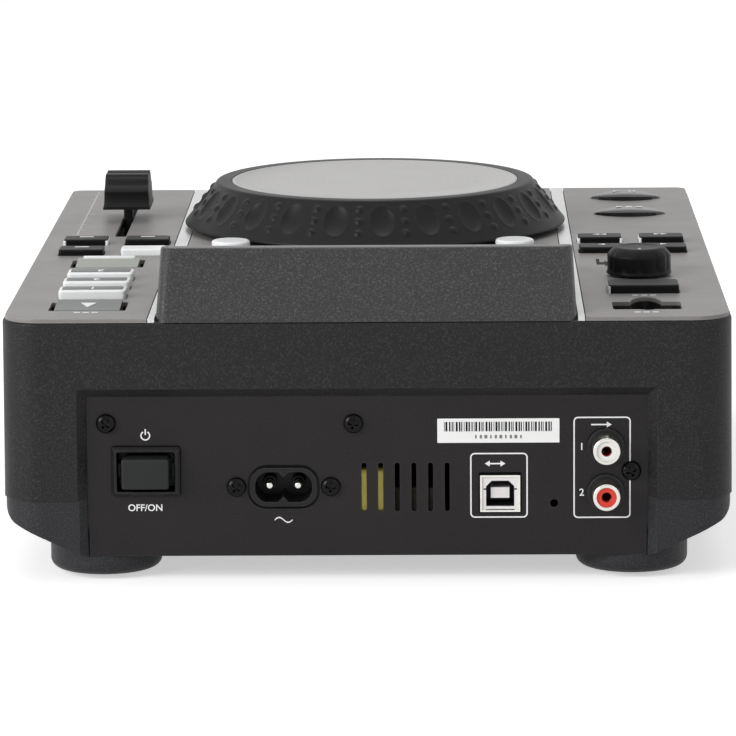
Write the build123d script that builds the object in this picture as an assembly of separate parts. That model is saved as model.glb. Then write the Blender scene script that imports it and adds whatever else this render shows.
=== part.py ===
from build123d import *
import math
import os

os.makedirs("parts", exist_ok=True)

# ---------------------------------------------------------------- case
body_width = 220.0
body_length = 280.0
deck_height = 80.5
base_height = 7.5
split_height = 25.2
corner_radius = 12.0
front_corner_radius = 4.5
case_wall = 3.0
cover_roof = 2.5
wall_draft = 0.4
split_step = 0.5
top_edge_radius = 1.0
side_chamfer_run = 25.0
side_chamfer_rise = 11.5
side_bend_radius = 6.0
plate_thickness = 1.2
plate_inset = 0.8
plate_side_inset = 0.4
plate_gap = 0.3

# ---------------------------------------------------------------- fits
moving_gap = 0.3
shaft_play = 0.05
seat_gap = 0.2
screw_play = 0.05

# ---------------------------------------------------------------- rear panel
panel_recess = 3.0
panel_side_margin = 25.8
panel_half_width = body_width / 2 - panel_side_margin
panel_top = 56.5
panel_thickness = 1.5
panel_lip = 5.0
panel_lip_rise = 9.0
rca_reach = 9.0

rear_y = body_length / 2 - (rca_reach - panel_recess) / 2
front_y = rear_y - body_length
mid_y = (rear_y + front_y) / 2
panel_y = rear_y - panel_recess
cover_top = deck_height - plate_thickness
roof_under = cover_top - cover_roof
floor_top = base_height + 2.5


def from_rear(distance):
    """Y of a point that lies this far in front of the rear face."""
    return rear_y - distance


# ---------------------------------------------------------------- control columns
column_margin = 25.4
strip_to_column = 19.3
strip_width = 4.3
column_x = body_width / 2 - column_margin
strip_outer_x = column_x - strip_to_column

small_key_width = 14.5
small_key_length = 8.8
small_key_height = 2.0
small_key_pitch = 20.2
row_one_back = 152.2
row_two_back = 130.2

pad_width = 20.7
pad_length = 9.0
pad_height = 2.6
pad_first_back = 42.6
pad_pitch = 17.3

slot_key_width = 19.8
slot_key_length = 15.0
slot_key_height = 0.9
slot_key_side_gap = 1.8
eject_back = 24.1
menu_back = 108.3

back_key_width = 21.8
back_key_length = 12.0
back_key_height = 2.6
back_key_back = 50.0

almond_width = 24.0
almond_length = 13.6
almond_height = 2.2
almond_shift = 2.1
almond_x = -column_x - almond_shift
cue_back = 214.0
play_back = 252.5

round_key_radius = 6.25
round_key_height = 3.5
round_key_x = 46.3
round_key_back = 135.0

key_travel = 0.8
key_flange = 1.0
key_flange_thickness = 1.2

# ---------------------------------------------------------------- select knob
knob_back = 80.5
knob_radius = 10.2
knob_height = 8.4
knob_lift = 0.7
knob_push = 0.5
select_shaft_radius = 3.0
select_bush_radius = 4.5

# ---------------------------------------------------------------- pitch fader
fader_slot_near = 167.0
fader_slot_far = 267.0
fader_slot_width = 3.8
fader_slot_corner = 0.8
fader_back = 210.0
fader_cap_length = 22.0
fader_cap_width = 15.4
fader_cap_lift = 4.45
fader_cap_height = 11.4
fader_cap_bottom = deck_height + fader_cap_lift
fader_cap_top = fader_cap_bottom + fader_cap_height
fader_stem_width = 3.0
fader_stem_length = 5.0
fader_body_width = 11.0
fader_body_height = 9.0

# ---------------------------------------------------------------- jog wheel
jog_back = 190.6
jog_radius = 64.0
jog_slope_run = 11.2
jog_shoulder_ring = 4.7
jog_shoulder_radius = jog_radius - jog_slope_run
jog_disc_radius = jog_shoulder_radius - jog_shoulder_ring
jog_rise = 15.9
jog_shoulder_rise = 15.9
jog_top = deck_height + jog_rise
jog_shoulder_height = deck_height + jog_shoulder_rise
jog_disc_thickness = 1.5
jog_deck_gap = 1.5
jog_band_height = 2.2
jog_dimples = 24
jog_dimple_phase = 3.2
jog_dimple_width = 8.0
jog_dimple_length = 11.0
jog_dimple_depth = 0.75
jog_shaft_radius = 4.0
jog_neck_radius = 9.0
jog_bearing_radius = 18.0
code_wheel_radius = 20.0
code_wheel_depth = 21.9
code_wheel_height = deck_height - code_wheel_depth
code_wheel_thickness = 0.8

# ---------------------------------------------------------------- display
display_overlap = 2.0
display_half_width = strip_outer_x - strip_width + display_overlap
display_front_back = 91.0
display_rise = 19.3
display_lean = 14.5
display_wall = 2.5
display_side_draft = 2.7
display_nose_height = 4.5
window_side_margin = 5.5
window_width = 2 * (display_half_width - window_side_margin)
window_length = 68.0
window_thickness = 1.5
lcd_side_margin = 4.25
lcd_width = window_width - 2 * lcd_side_margin
lcd_length = 58.0
lcd_thickness = 3.5

# ---------------------------------------------------------------- rear fittings (x, z of each centre)
switch_x = 66.5
switch_z = 33.8
switch_bezel_width = 20.5
switch_bezel_height = 15.0
switch_bezel_out = 2.0
switch_mouth_width = 17.6
switch_mouth_height = 12.2
switch_cap_width = 14.2
switch_cap_height = 9.2
switch_cap_out = 6.0
switch_travel = 3.0

inlet_x = 25.2
inlet_z = 28.8
inlet_width = 20.0
inlet_height = 11.8
inlet_gap = 0.9
inlet_flange_lap = 1.2
inlet_out = 0.8
inlet_mouth_width = 17.1
inlet_mouth_height = 9.2
inlet_notch_side = 2.3
inlet_mouth_depth = 13.0
inlet_pin_pitch = 8.6
inlet_pin_radius = 1.2
inlet_screw_pitch = 28.4

vent_first_x = 1.0
vent_pitch = 5.0
vent_count = 6
vent_width = 1.5
vent_height = 14.9
vent_z = 28.5

usb_b_x = -39.9
usb_b_z = 26.5
usb_b_width = 12.0
usb_b_height = 11.2
usb_b_wall = 0.5
usb_b_depth = 16.0

rca_x = -71.6
rca_left_z = 40.8
rca_pitch = 14.0
rca_radius = 4.15
rca_root_step = 0.2
rca_root_radius = rca_radius - rca_root_step
rca_hole_radius = 1.6
rca_collar_ring = 1.45
rca_collar_radius = rca_radius + rca_collar_ring
rca_collar_out = 1.2

reset_hole_x = -56.1
reset_hole_z = 23.4
reset_hole_radius = 1.25

screw_head_radius = 2.95
screw_head_height = 1.9
screw_shank_radius = 1.45
panel_screw_left_x = 78.4
panel_screw_left_z = 48.4
panel_screw_mid_x = 4.1
panel_screw_mid_z = 48.1
panel_screw_right_x = -79.3
panel_screw_right_z = 33.3

# ---------------------------------------------------------------- feet and case posts
pod_radius = 17.0
pod_edge_radius = 3.0
foot_thickness = 2.0
foot_radius = 8.0
foot_margin = 30.0
foot_x = body_width / 2 - foot_margin
foot_back = 20.0
case_post_margin = 9.0
case_post_x = body_width / 2 - case_post_margin
case_post_radius = 4.5
case_post_end = 25.0
case_post_middle = 137.0
case_post_backs = (case_post_end, case_post_middle, body_length - case_post_end)
case_screw_seat = 19.0
case_screw_length = 14.0

# ---------------------------------------------------------------- boards
board_thickness = 1.6
key_switch_side = 6.0
key_switch_height = 3.4
key_plunger_radius = 1.7
key_plunger_height = 0.8
key_plunger_gap = 0.9
key_board_inner_x = column_x - 18.0
key_board_outer_x = column_x + 19.0
key_board_near = 6.5
key_board_far = 157.5
key_board_long_far = 264.0
key_board_post_radius = 2.2
main_board_x0 = -92.0
main_board_x1 = -29.0
main_board_near = 7.0
main_board_far = 135.0
psu_board_x0 = -24.0
psu_board_x1 = 88.0
psu_board_near = 8.5
psu_board_far = 76.0
psu_board_height = 14.0
standoff_radius = 3.0

# ---------------------------------------------------------------- disc drive
slot_half_width = 61.5
slot_height = 36.1
slot_gap = 5.2
drive_half_width = 72.0
drive_back = 145.0
drive_bottom = 12.0
drive_top = 42.0
drive_sheet = 1.2
drive_front_gap = 1.0
spindle_front = 77.0
spindle_radius = 1.45
motor_radius = 11.0
turntable_radius = 14.0
roller_front = 13.0
roller_radius = 3.2
roller_shaft_radius = 1.5
roller_height = 29.8
rod_radius = 1.5
rod_offset = 14.0
rod_height = 24.0
sled_travel = 34.0

# derived heights
flange_top = roof_under - seat_gap
flange_bottom = flange_top - key_flange_thickness
plunger_top = flange_bottom - key_plunger_gap
key_board_top = plunger_top - key_plunger_height - key_switch_height
key_board_bottom = key_board_top - board_thickness
main_board_top = usb_b_z - usb_b_height / 2
main_board_bottom = main_board_top - board_thickness
jog_y = from_rear(jog_back)
drive_front_y = front_y + case_wall + drive_front_gap
drive_rear_y = from_rear(drive_back)


# ================================================================ helpers
def block(x0, x1, y0, y1, z0, z1):
    size = (abs(x1 - x0), abs(y1 - y0), abs(z1 - z0))
    return Pos((x0 + x1) / 2, (y0 + y1) / 2, (z0 + z1) / 2) * Box(*size)


def slab(x, y, z0, z1, width, length, radius):
    """Upright block with rounded plan corners."""
    return extrude(Pos(x, y, z0) * RectangleRounded(width, length, radius), z1 - z0)


def post(x, y, z0, z1, radius):
    return Pos(x, y, (z0 + z1) / 2) * Cylinder(radius, z1 - z0)


def rod_along_y(x, z, y0, y1, radius):
    return Pos(x, (y0 + y1) / 2, z) * Rot(90, 0, 0) * Cylinder(radius, abs(y1 - y0))


def rod_along_x(y, z, x0, x1, radius):
    return Pos((x0 + x1) / 2, y, z) * Rot(0, 90, 0) * Cylinder(radius, abs(x1 - x0))


def panel_slab(x, z, y0, y1, width, height, radius):
    """Block with rounded corners in the XZ plane, from y0 to y1."""
    plane = Plane(origin=(x, min(y0, y1), z), x_dir=(1, 0, 0), z_dir=(0, 1, 0))
    return extrude(plane * RectangleRounded(width, height, radius), abs(y1 - y0))


def prism_along_x(points, x0, x1):
    """Solid with a YZ outline, from x0 to x1."""
    outline = [Vector(x0, y, z) for y, z in points]
    face = Face(Wire.make_polygon(outline, close=True))
    return Solid.extrude(face, Vector(x1 - x0, 0, 0))


def prism_along_y(points, y0, y1):
    """Solid with an XZ outline, from y0 to y1."""
    outline = [Vector(x, y0, z) for x, z in points]
    face = Face(Wire.make_polygon(outline, close=True))
    return Solid.extrude(face, Vector(0, y1 - y0, 0))


def turned(points, x, y):
    """Solid of revolution about the vertical axis through x, y, from (radius, z) points."""
    outline = [Vector(r, 0, z) for r, z in points]
    face = Face(Wire.make_polygon(outline, close=True))
    return Pos(x, y, 0) * Solid.revolve(face, 360, Axis.Z)


def save(name, *pieces):
    solids = []
    for piece in pieces:
        solids.extend(piece.solids())
    shape = solids[0] if len(solids) == 1 else Compound(children=solids)
    export_step(shape, f"parts/{name}.step")
    print(name, len(solids))


# ================================================================ case
def case_plan(inset, side_inset=0.0):
    """Outline of the case from above, every edge moved inwards, its front corners the sharper ones."""
    outline = Rectangle(body_width - 2 * inset - 2 * side_inset, body_length - 2 * inset)
    corners = outline.vertices().sort_by(Axis.Y)
    outline = fillet(corners[2:], corner_radius - inset)
    corners = outline.vertices().sort_by(Axis.Y)
    return fillet(corners[:2], front_corner_radius - inset)


def case_prism(inset, z0, z1, taper):
    return extrude(Pos(0, mid_y, z0) * case_plan(inset), z1 - z0, taper=taper)


def recess_cut():
    """Bevelled mouth round the rear panel, open at the bottom."""
    depth = panel_recess
    drop = 40.0
    width = 2 * panel_half_width
    height = panel_top + drop
    centre_z = (panel_top - drop) / 2
    plane = Plane(origin=(0, panel_y - 0.001, centre_z), x_dir=(1, 0, 0), z_dir=(0, 1, 0))
    mouth = extrude(plane * Rectangle(width, height), depth + 0.5, taper=-45)
    behind = panel_y - panel_thickness - seat_gap
    through = block(-panel_half_width, panel_half_width, behind, panel_y + 1, base_height, panel_top)
    return mouth + through


def key_holes():
    """Solids that cut the deck's opening for every control."""
    z0 = roof_under - 1
    z1 = deck_height + 1
    gap = 2 * moving_gap
    cuts = []
    for side in (1, -1):
        for back in (row_one_back, row_two_back):
            for step in (-0.5, 0.5):
                x = side * column_x + step * small_key_pitch
                y = from_rear(back)
                cuts.append(slab(x, y, z0, z1, small_key_width + gap, small_key_length + gap, 1.3))
        y = from_rear(round_key_back)
        cuts.append(post(side * round_key_x, y, z0, z1, round_key_radius + moving_gap))
    for row in range(3):
        y = from_rear(pad_first_back + row * pad_pitch)
        cuts.append(slab(column_x, y, z0, z1, pad_width + gap, pad_length + gap, 1.3))
    for back in (eject_back, menu_back):
        width = slot_key_width + 2 * slot_key_side_gap
        cuts.append(slab(column_x, from_rear(back), z0, z1, width, slot_key_length + gap, 0.8))
    y = from_rear(back_key_back)
    cuts.append(slab(-column_x, y, z0, z1, back_key_width + gap, back_key_length + gap, 1.3))
    for back in (cue_back, play_back):
        cuts.append(almond(almond_x, from_rear(back), z0, z1, moving_gap))
    cuts.append(post(-column_x, from_rear(knob_back), z0, z1, select_bush_radius + moving_gap))
    slot_mid = (fader_slot_near + fader_slot_far) / 2
    slot_length = fader_slot_far - fader_slot_near
    cuts.append(slab(column_x, from_rear(slot_mid), z0, z1, fader_slot_width, slot_length, fader_slot_corner))
    cuts.append(usb_pit(z0, z1, 0.0))
    return cuts


def almond(x, y, z0, z1, grow):
    """Lens-shaped prism: two arcs that meet in points at the sides."""
    half = almond_width / 2 + grow * 2
    sag = almond_length / 2 + grow
    radius = (half * half + sag * sag) / (2 * sag)
    lower = Pos(x, y + radius - sag, (z0 + z1) / 2) * Cylinder(radius, z1 - z0)
    upper = Pos(x, y - radius + sag, (z0 + z1) / 2) * Cylinder(radius, z1 - z0)
    return lower & upper


usb_pit_width = 20.8
usb_pit_length = 14.0
usb_pit_back = 21.2
usb_relief_width = 10.0
usb_relief_length = 24.0
usb_relief_back = 25.0
usb_pit_depth = 5.8
usb_pit_floor = deck_height - usb_pit_depth


def usb_pit(z0, z1, grow):
    """Slot for a memory stick with a finger relief across it."""
    width = usb_pit_width + 2 * grow
    slot = slab(-column_x, from_rear(usb_pit_back), z0, z1, width, usb_pit_length + 2 * grow, 1.0)
    ellipse = Ellipse(usb_relief_width / 2 + grow, usb_relief_length / 2 + grow)
    relief = extrude(Pos(-column_x, from_rear(usb_relief_back), z0) * ellipse, z1 - z0)
    return slot + relief


def key_board_posts():
    places = []
    for side in (1, -1):
        for back in (9.8, 141.2):
            places.append((side * column_x, back))
    places.append((column_x, 91.5))
    places.append((-column_x, 101.0))
    places.append((-column_x, 180.0))
    places.append((-column_x, 233.3))
    return places


def case_posts():
    return [(side * case_post_x, from_rear(back)) for side in (1, -1) for back in case_post_backs]


def make_top_cover():
    outer = case_prism(0, split_height, cover_top, wall_draft)
    outer = fillet(outer.faces().sort_by(Axis.Z)[-1].edges(), top_edge_radius)
    inner = case_prism(case_wall, split_height - 1, roof_under, wall_draft)
    cover = outer - inner
    for x, y in case_posts():
        side = math.copysign(1, x)
        column = post(x, y, split_height, split_height + 20, case_post_radius - 0.5)
        wall = side * (body_width / 2 - case_wall + 0.8)
        web = block(x, wall, y - 1.5, y + 1.5, split_height, split_height + 20)
        cover += column + web
        cover -= post(x, y, split_height - 1, split_height + 12, screw_shank_radius + screw_play)
    for x, back in key_board_posts():
        cover += post(x, from_rear(back), key_board_top, roof_under + 0.5, key_board_post_radius)
    cover -= recess_cut()
    seat = panel_half_width + panel_lip
    cover -= block(-seat, seat, panel_y - 3, panel_y, split_height - 1, panel_top + panel_lip + seat_gap)
    cover -= block(-slot_half_width, slot_half_width, front_y - 1, front_y + case_wall + 1,
                   slot_height - slot_gap / 2, slot_height + slot_gap / 2)
    for cut in key_holes():
        cover -= cut
    cover -= post(0, jog_y, roof_under - 1, cover_top + 1, jog_neck_radius + 1.5)
    mouth_half = display_half_width - display_wall - 6
    mouth_front = from_rear(display_front_back - 14)
    cover -= block(-mouth_half, mouth_half, mouth_front, from_rear(24), roof_under - 1, cover_top + 1)
    return cover


def bottom_outline(inset):
    """XZ outline of the lower case, with its chamfered sides."""
    half = body_width / 2 - (inset if inset else split_step)
    flat = body_width / 2 - split_step - side_chamfer_run - inset * 0.45
    low = floor_top if inset else base_height
    rise = base_height + side_chamfer_rise + inset * 0.6
    top = split_height + (1 if inset else 0)
    return [(-half, top), (-half, rise), (-flat, low), (flat, low), (half, rise), (half, top)]


def make_bottom_cover():
    plan = case_plan(split_step)
    outer = extrude(Pos(0, mid_y, 0) * plan, split_height)
    shape = prism_along_y(bottom_outline(0), front_y - 1, rear_y + 1)
    bend_edges = [e for e in shape.edges() if abs(e.center().Z - (base_height + side_chamfer_rise)) < 0.01
                  and abs(e.length - (body_length + 2)) < 1]
    shape = shape.fillet(side_bend_radius, bend_edges)
    outer = outer & shape
    hollow = extrude(Pos(0, mid_y, 0) * case_plan(case_wall), split_height + 1)
    hollow = hollow & prism_along_y(bottom_outline(case_wall), front_y - 1, rear_y + 1)
    cover = outer
    for x in (foot_x, -foot_x):
        for y in (from_rear(foot_back), front_y + foot_back):
            pod = post(x, y, foot_thickness - 0.6, floor_top + 8, pod_radius)
            pod = fillet(pod.faces().sort_by(Axis.Z)[0].edges(), pod_edge_radius)
            cover += pod & (extrude(Pos(0, mid_y, 0) * plan, split_height))
    cover -= hollow
    for x in (foot_x, -foot_x):
        for y in (from_rear(foot_back), front_y + foot_back):
            cover -= post(x, y, 0, foot_thickness, foot_radius + 0.1)
    cover -= recess_cut()
    seat = panel_half_width + panel_lip
    seat_low = base_height + panel_lip_rise - seat_gap
    cover -= block(-seat, seat, panel_y - panel_thickness - seat_gap, panel_y, seat_low, split_height + 1)
    for x, y in case_posts():
        cover += post(x, y, 15.5, split_height, case_post_radius)
        cover -= post(x, y, 0, case_screw_seat, screw_head_radius + 0.3)
        cover -= post(x, y, 0, split_height + 1, screw_shank_radius + screw_play)
    for x, y in drive_posts():
        cover += post(x, y, floor_top - 0.5, drive_bottom, standoff_radius + 1)
    for x, y in main_board_posts():
        cover += post(x, y, floor_top - 0.5, main_board_bottom, standoff_radius)
    for x, y in psu_board_posts():
        cover += post(x, y, floor_top - 0.5, psu_board_height, standoff_radius)
    return cover


def drive_posts():
    return [(x, y) for x in (-60.0, 60.0) for y in (drive_front_y + 12, drive_rear_y - 12)]


def main_board_posts():
    xs = (main_board_x0 + 8, main_board_x1 - 5)
    ys = (from_rear(main_board_near + 14), from_rear(main_board_far - 6))
    return [(x, y) for x in xs for y in ys]


def psu_board_posts():
    xs = (psu_board_x0 + 5, psu_board_x1 - 10)
    ys = (from_rear(psu_board_near + 10), from_rear(psu_board_far - 6))
    return [(x, y) for x in xs for y in ys]


# ================================================================ deck plates
def deck_outline(z0, z1):
    return extrude(Pos(0, mid_y, z0) * case_plan(plate_inset, plate_side_inset), z1 - z0)


def plate_band(x0, x1, y0=None, y1=None):
    y0 = front_y - 1 if y0 is None else y0
    y1 = rear_y + 1 if y1 is None else y1
    return deck_outline(cover_top, deck_height) & block(x0, x1, y0, y1, cover_top - 1, deck_height + 1)


def make_deck_plates():
    hump_front = from_rear(display_front_back) - plate_gap
    half = strip_outer_x - strip_width - plate_gap / 2
    centre = plate_band(-half, half, y1=hump_front)
    centre -= post(0, jog_y, cover_top - 1, deck_height + 1, jog_neck_radius + 1.5)
    side_start = strip_outer_x + plate_gap
    sides = [plate_band(side_start, body_width), plate_band(-body_width, -side_start)]
    strips = []
    for side in (1, -1):
        inner = strip_outer_x - strip_width + plate_gap / 2
        x0, x1 = sorted((side * inner, side * strip_outer_x))
        strip = plate_band(x0, x1)
        clear = display_half_width + plate_gap
        strip -= block(-clear, clear, hump_front, rear_y + 1, cover_top - 1, deck_height + 1)
        strips.append(strip)
    cuts = key_holes()
    for cut in cuts:
        centre -= cut
        sides = [plate - cut for plate in sides]
        strips = [strip - cut for strip in strips]
    return centre, sides, strips


# ================================================================ display
display_crest = 4.0
display_crest_radius = 1.0
display_top = deck_height + display_rise


def display_profile(drop):
    """YZ outline of the screen housing, with every wall moved inwards by drop."""
    rear_low = rear_y - 0.5
    crest_rear = from_rear(display_lean)
    crest_front = crest_rear - display_crest
    front = from_rear(display_front_back)
    nose = deck_height + display_nose_height
    slope = (display_top - nose) / (crest_front - front)
    fall = drop * math.hypot(1, slope)
    lean = (rear_low - crest_rear) / (display_top - cover_top)
    inset = drop * math.hypot(1, lean)
    top = display_top - drop
    base = cover_top - (1 if drop else 0)
    inner_front = front + drop
    return [(rear_low - inset + lean * (cover_top - base), base), (crest_rear - inset + lean * drop, top),
            (crest_front + (fall - drop) / slope, top), (inner_front, nose + slope * drop - fall), (inner_front, base)]


def window_plane():
    """Plane on the sloping screen face, its x along X and its y up the slope."""
    points = display_profile(0)
    top, low = points[2], points[3]
    slope = Vector(0, top[0] - low[0], top[1] - low[1])
    middle = Vector(0, (top[0] + low[0]) / 2, (top[1] + low[1]) / 2)
    normal = Vector(1, 0, 0).cross(slope.normalized())
    return Plane(origin=middle, x_dir=(1, 0, 0), z_dir=normal)


def make_display():
    housing = prism_along_x(display_profile(0), -display_half_width, display_half_width)
    top_z = display_top
    for side in (1, -1):
        pivot = Pos(side * display_half_width, from_rear(display_front_back / 2), cover_top)
        wedge = pivot * Rot(0, -side * display_side_draft, 0) * Pos(side * 10, 0, 15) * Box(20, 120, 60)
        housing = housing - wedge
    upright = [e for e in housing.edges() if abs(e.center().Y - from_rear(display_lean / 2 + 0.3)) < 2
               and abs(e.center().X) > 55 and e.length > 15]
    housing = fillet(upright, 3.5)
    crest = [e for e in housing.edges() if e.center().Z > top_z - 0.2]
    housing = fillet(crest, display_crest_radius)
    hollow = prism_along_x(display_profile(display_wall), -display_half_width + 4.2, display_half_width - 4.2)
    housing -= hollow
    plane = window_plane()
    seat = extrude(plane * RectangleRounded(window_width + 0.2, window_length + 0.2, 3), -window_thickness)
    view = extrude(plane * RectangleRounded(lcd_width - 6, lcd_length - 4, 1.5), -12)
    housing -= seat
    housing -= view
    window = extrude(plane * RectangleRounded(window_width, window_length, 2.9), -window_thickness)
    lcd_top = display_wall * 1.02 + seat_gap
    module = extrude(plane.offset(-lcd_top) * Rectangle(lcd_width, lcd_length), -lcd_thickness)
    return housing, window, module


# ================================================================ keys
def key_body(cap, x, y, width, length):
    flange = slab(x, y, flange_bottom, flange_top, width + 2 * key_flange, length + 2 * key_flange, 1.0)
    return cap + flange


def make_small_key(x, back):
    y = from_rear(back)
    cap = slab(x, y, flange_bottom, deck_height + small_key_height, small_key_width, small_key_length, 1.2)
    cap = fillet(cap.faces().sort_by(Axis.Z)[-1].edges(), 0.5)
    return key_body(cap, x, y, small_key_width, small_key_length)


def make_wide_key(x, back, width, length, height):
    y = from_rear(back)
    cap = slab(x, y, flange_bottom, deck_height + height, width, length, 1.2)
    cap = fillet(cap.faces().sort_by(Axis.Z)[-1].edges(), 0.6)
    return key_body(cap, x, y, width, length)


def make_slot_key(back):
    """Key in a wider slot, its top rising a little towards the front."""
    y = from_rear(back)
    half = slot_key_length / 2
    top = deck_height + slot_key_height
    profile = [(y + half, flange_bottom), (y + half, deck_height + 0.1), (y - half, top), (y - half, flange_bottom)]
    cap = prism_along_x(profile, column_x - slot_key_width / 2, column_x + slot_key_width / 2)
    flange = slab(column_x, y, flange_bottom, flange_top, slot_key_width + 2 * slot_key_side_gap + 1.6,
                  slot_key_length + 2 * key_flange, 1.0)
    return cap + flange


def make_almond_key(back):
    y = from_rear(back)
    top = deck_height + almond_height
    cap = almond(almond_x, y, flange_bottom, top, 0)
    cap = chamfer(cap.faces().sort_by(Axis.Z)[-1].edges(), 1.0, 0.9)
    flange = almond(almond_x, y, flange_bottom, flange_top, key_flange)
    return cap + flange


def make_round_key(x):
    y = from_rear(round_key_back)
    cap = post(x, y, flange_bottom, deck_height + round_key_height, round_key_radius)
    cap = fillet(cap.faces().sort_by(Axis.Z)[-1].edges(), 0.8)
    return cap + post(x, y, flange_bottom, flange_top, round_key_radius + key_flange)


def make_key_boards():
    left_far = key_board_long_far
    right = block(key_board_inner_x, key_board_outer_x, from_rear(key_board_far), from_rear(key_board_near),
                  key_board_bottom, key_board_top)
    left = block(-key_board_outer_x, -key_board_inner_x, from_rear(left_far), from_rear(key_board_near),
                 key_board_bottom, key_board_top)
    bars = []
    for side in (1, -1):
        y = from_rear(round_key_back)
        x0, x1 = sorted((side * (round_key_x - 9), side * (key_board_inner_x)))
        bar = block(x0, x1, y - 7, y + 7, key_board_bottom, key_board_top)
        bars.append(bar)
    right = right + bars[0]
    left = left + bars[1]
    bush = post(-column_x, from_rear(knob_back), key_board_bottom - 1, key_board_top + 1, 1.0)
    return right, left - bush


def key_centres():
    places = []
    for side in (1, -1):
        for back in (row_one_back, row_two_back):
            for step in (-0.5, 0.5):
                places.append((side * column_x + step * small_key_pitch, back))
        places.append((side * round_key_x, round_key_back))
    for row in range(3):
        places.append((column_x, pad_first_back + row * pad_pitch))
    places += [(column_x, eject_back), (column_x, menu_back)]
    places += [(-column_x, back_key_back), (almond_x, cue_back), (almond_x, play_back)]
    return places


def make_key_switches():
    half = key_switch_side / 2
    solids = []
    for x, back in key_centres():
        y = from_rear(back)
        top = key_board_top + key_switch_height
        case = block(x - half, x + half, y - half, y + half, key_board_top, top)
        solids.append(case + post(x, y, top, top + key_plunger_height, key_plunger_radius))
    return solids


# ================================================================ select knob
def make_select():
    y = from_rear(knob_back)
    base = deck_height + knob_lift
    top = base + knob_height
    knob = turned([(select_shaft_radius + shaft_play, base), (knob_radius, base), (knob_radius, top - 2.2),
                   (knob_radius - 1.6, top), (0, top), (0, top - 2.5), (select_shaft_radius + shaft_play, top - 2.5)],
                  -column_x, y)
    for i in range(24):
        angle = math.radians(i * 15)
        px = -column_x + (knob_radius + 0.55) * math.cos(angle)
        py = y + (knob_radius + 0.55) * math.sin(angle)
        knob -= post(px, py, base + 1.2, top + 1, 0.85)
    bush_top = deck_height + knob_lift - knob_push - 0.2
    shaft = post(-column_x, y, key_board_top + 1.2, top - 2.6, select_shaft_radius)
    body = block(-column_x - 6, -column_x + 6, y - 6, y + 6, key_board_top, key_board_top + 5.5)
    bush = body + post(-column_x, y, key_board_top + 5, bush_top, select_bush_radius)
    bush -= post(-column_x, y, key_board_top + 0.4, bush_top + 1, select_shaft_radius + shaft_play)
    return knob, shaft, bush


# ================================================================ pitch fader
def make_pitch():
    y = from_rear(fader_back)
    low = fader_cap_bottom
    top = fader_cap_top
    half = fader_cap_length / 2
    rise = top - low
    steps = [(half, low), (half, low + rise * 0.52), (half - 2.2, low + rise * 0.68),
             (half - 2.6, low + rise * 0.82), (half - 4.4, low + rise * 0.9), (half - 4.8, top),
             (1.6, top), (0.5, top - 1.2), (-0.5, top - 1.2), (-1.6, top)]
    mirror = [(-half + 4.8, top), (-half + 4.4, low + rise * 0.9), (-half + 2.6, low + rise * 0.82),
              (-half + 2.2, low + rise * 0.68), (-half, low + rise * 0.52), (-half, low)]
    outline = [(y + dy, z) for dy, z in steps + mirror]
    cap = prism_along_x(outline, column_x - fader_cap_width / 2, column_x + fader_cap_width / 2)
    stem_bottom = roof_under - 5.0
    stem = block(column_x - fader_stem_width / 2, column_x + fader_stem_width / 2,
                 y - fader_stem_length / 2, y + fader_stem_length / 2, stem_bottom, low + 0.5)
    knob = cap + stem
    y0 = from_rear(fader_slot_far + 6)
    y1 = from_rear(fader_slot_near - 6)
    bottom = roof_under - fader_body_height
    body = block(column_x - fader_body_width / 2, column_x + fader_body_width / 2, y0, y1, bottom, roof_under)
    groove = fader_stem_width / 2 + moving_gap
    body -= block(column_x - groove, column_x + groove, from_rear(fader_slot_far), from_rear(fader_slot_near),
                  stem_bottom - 0.5, roof_under + 1)
    return knob, body


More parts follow.
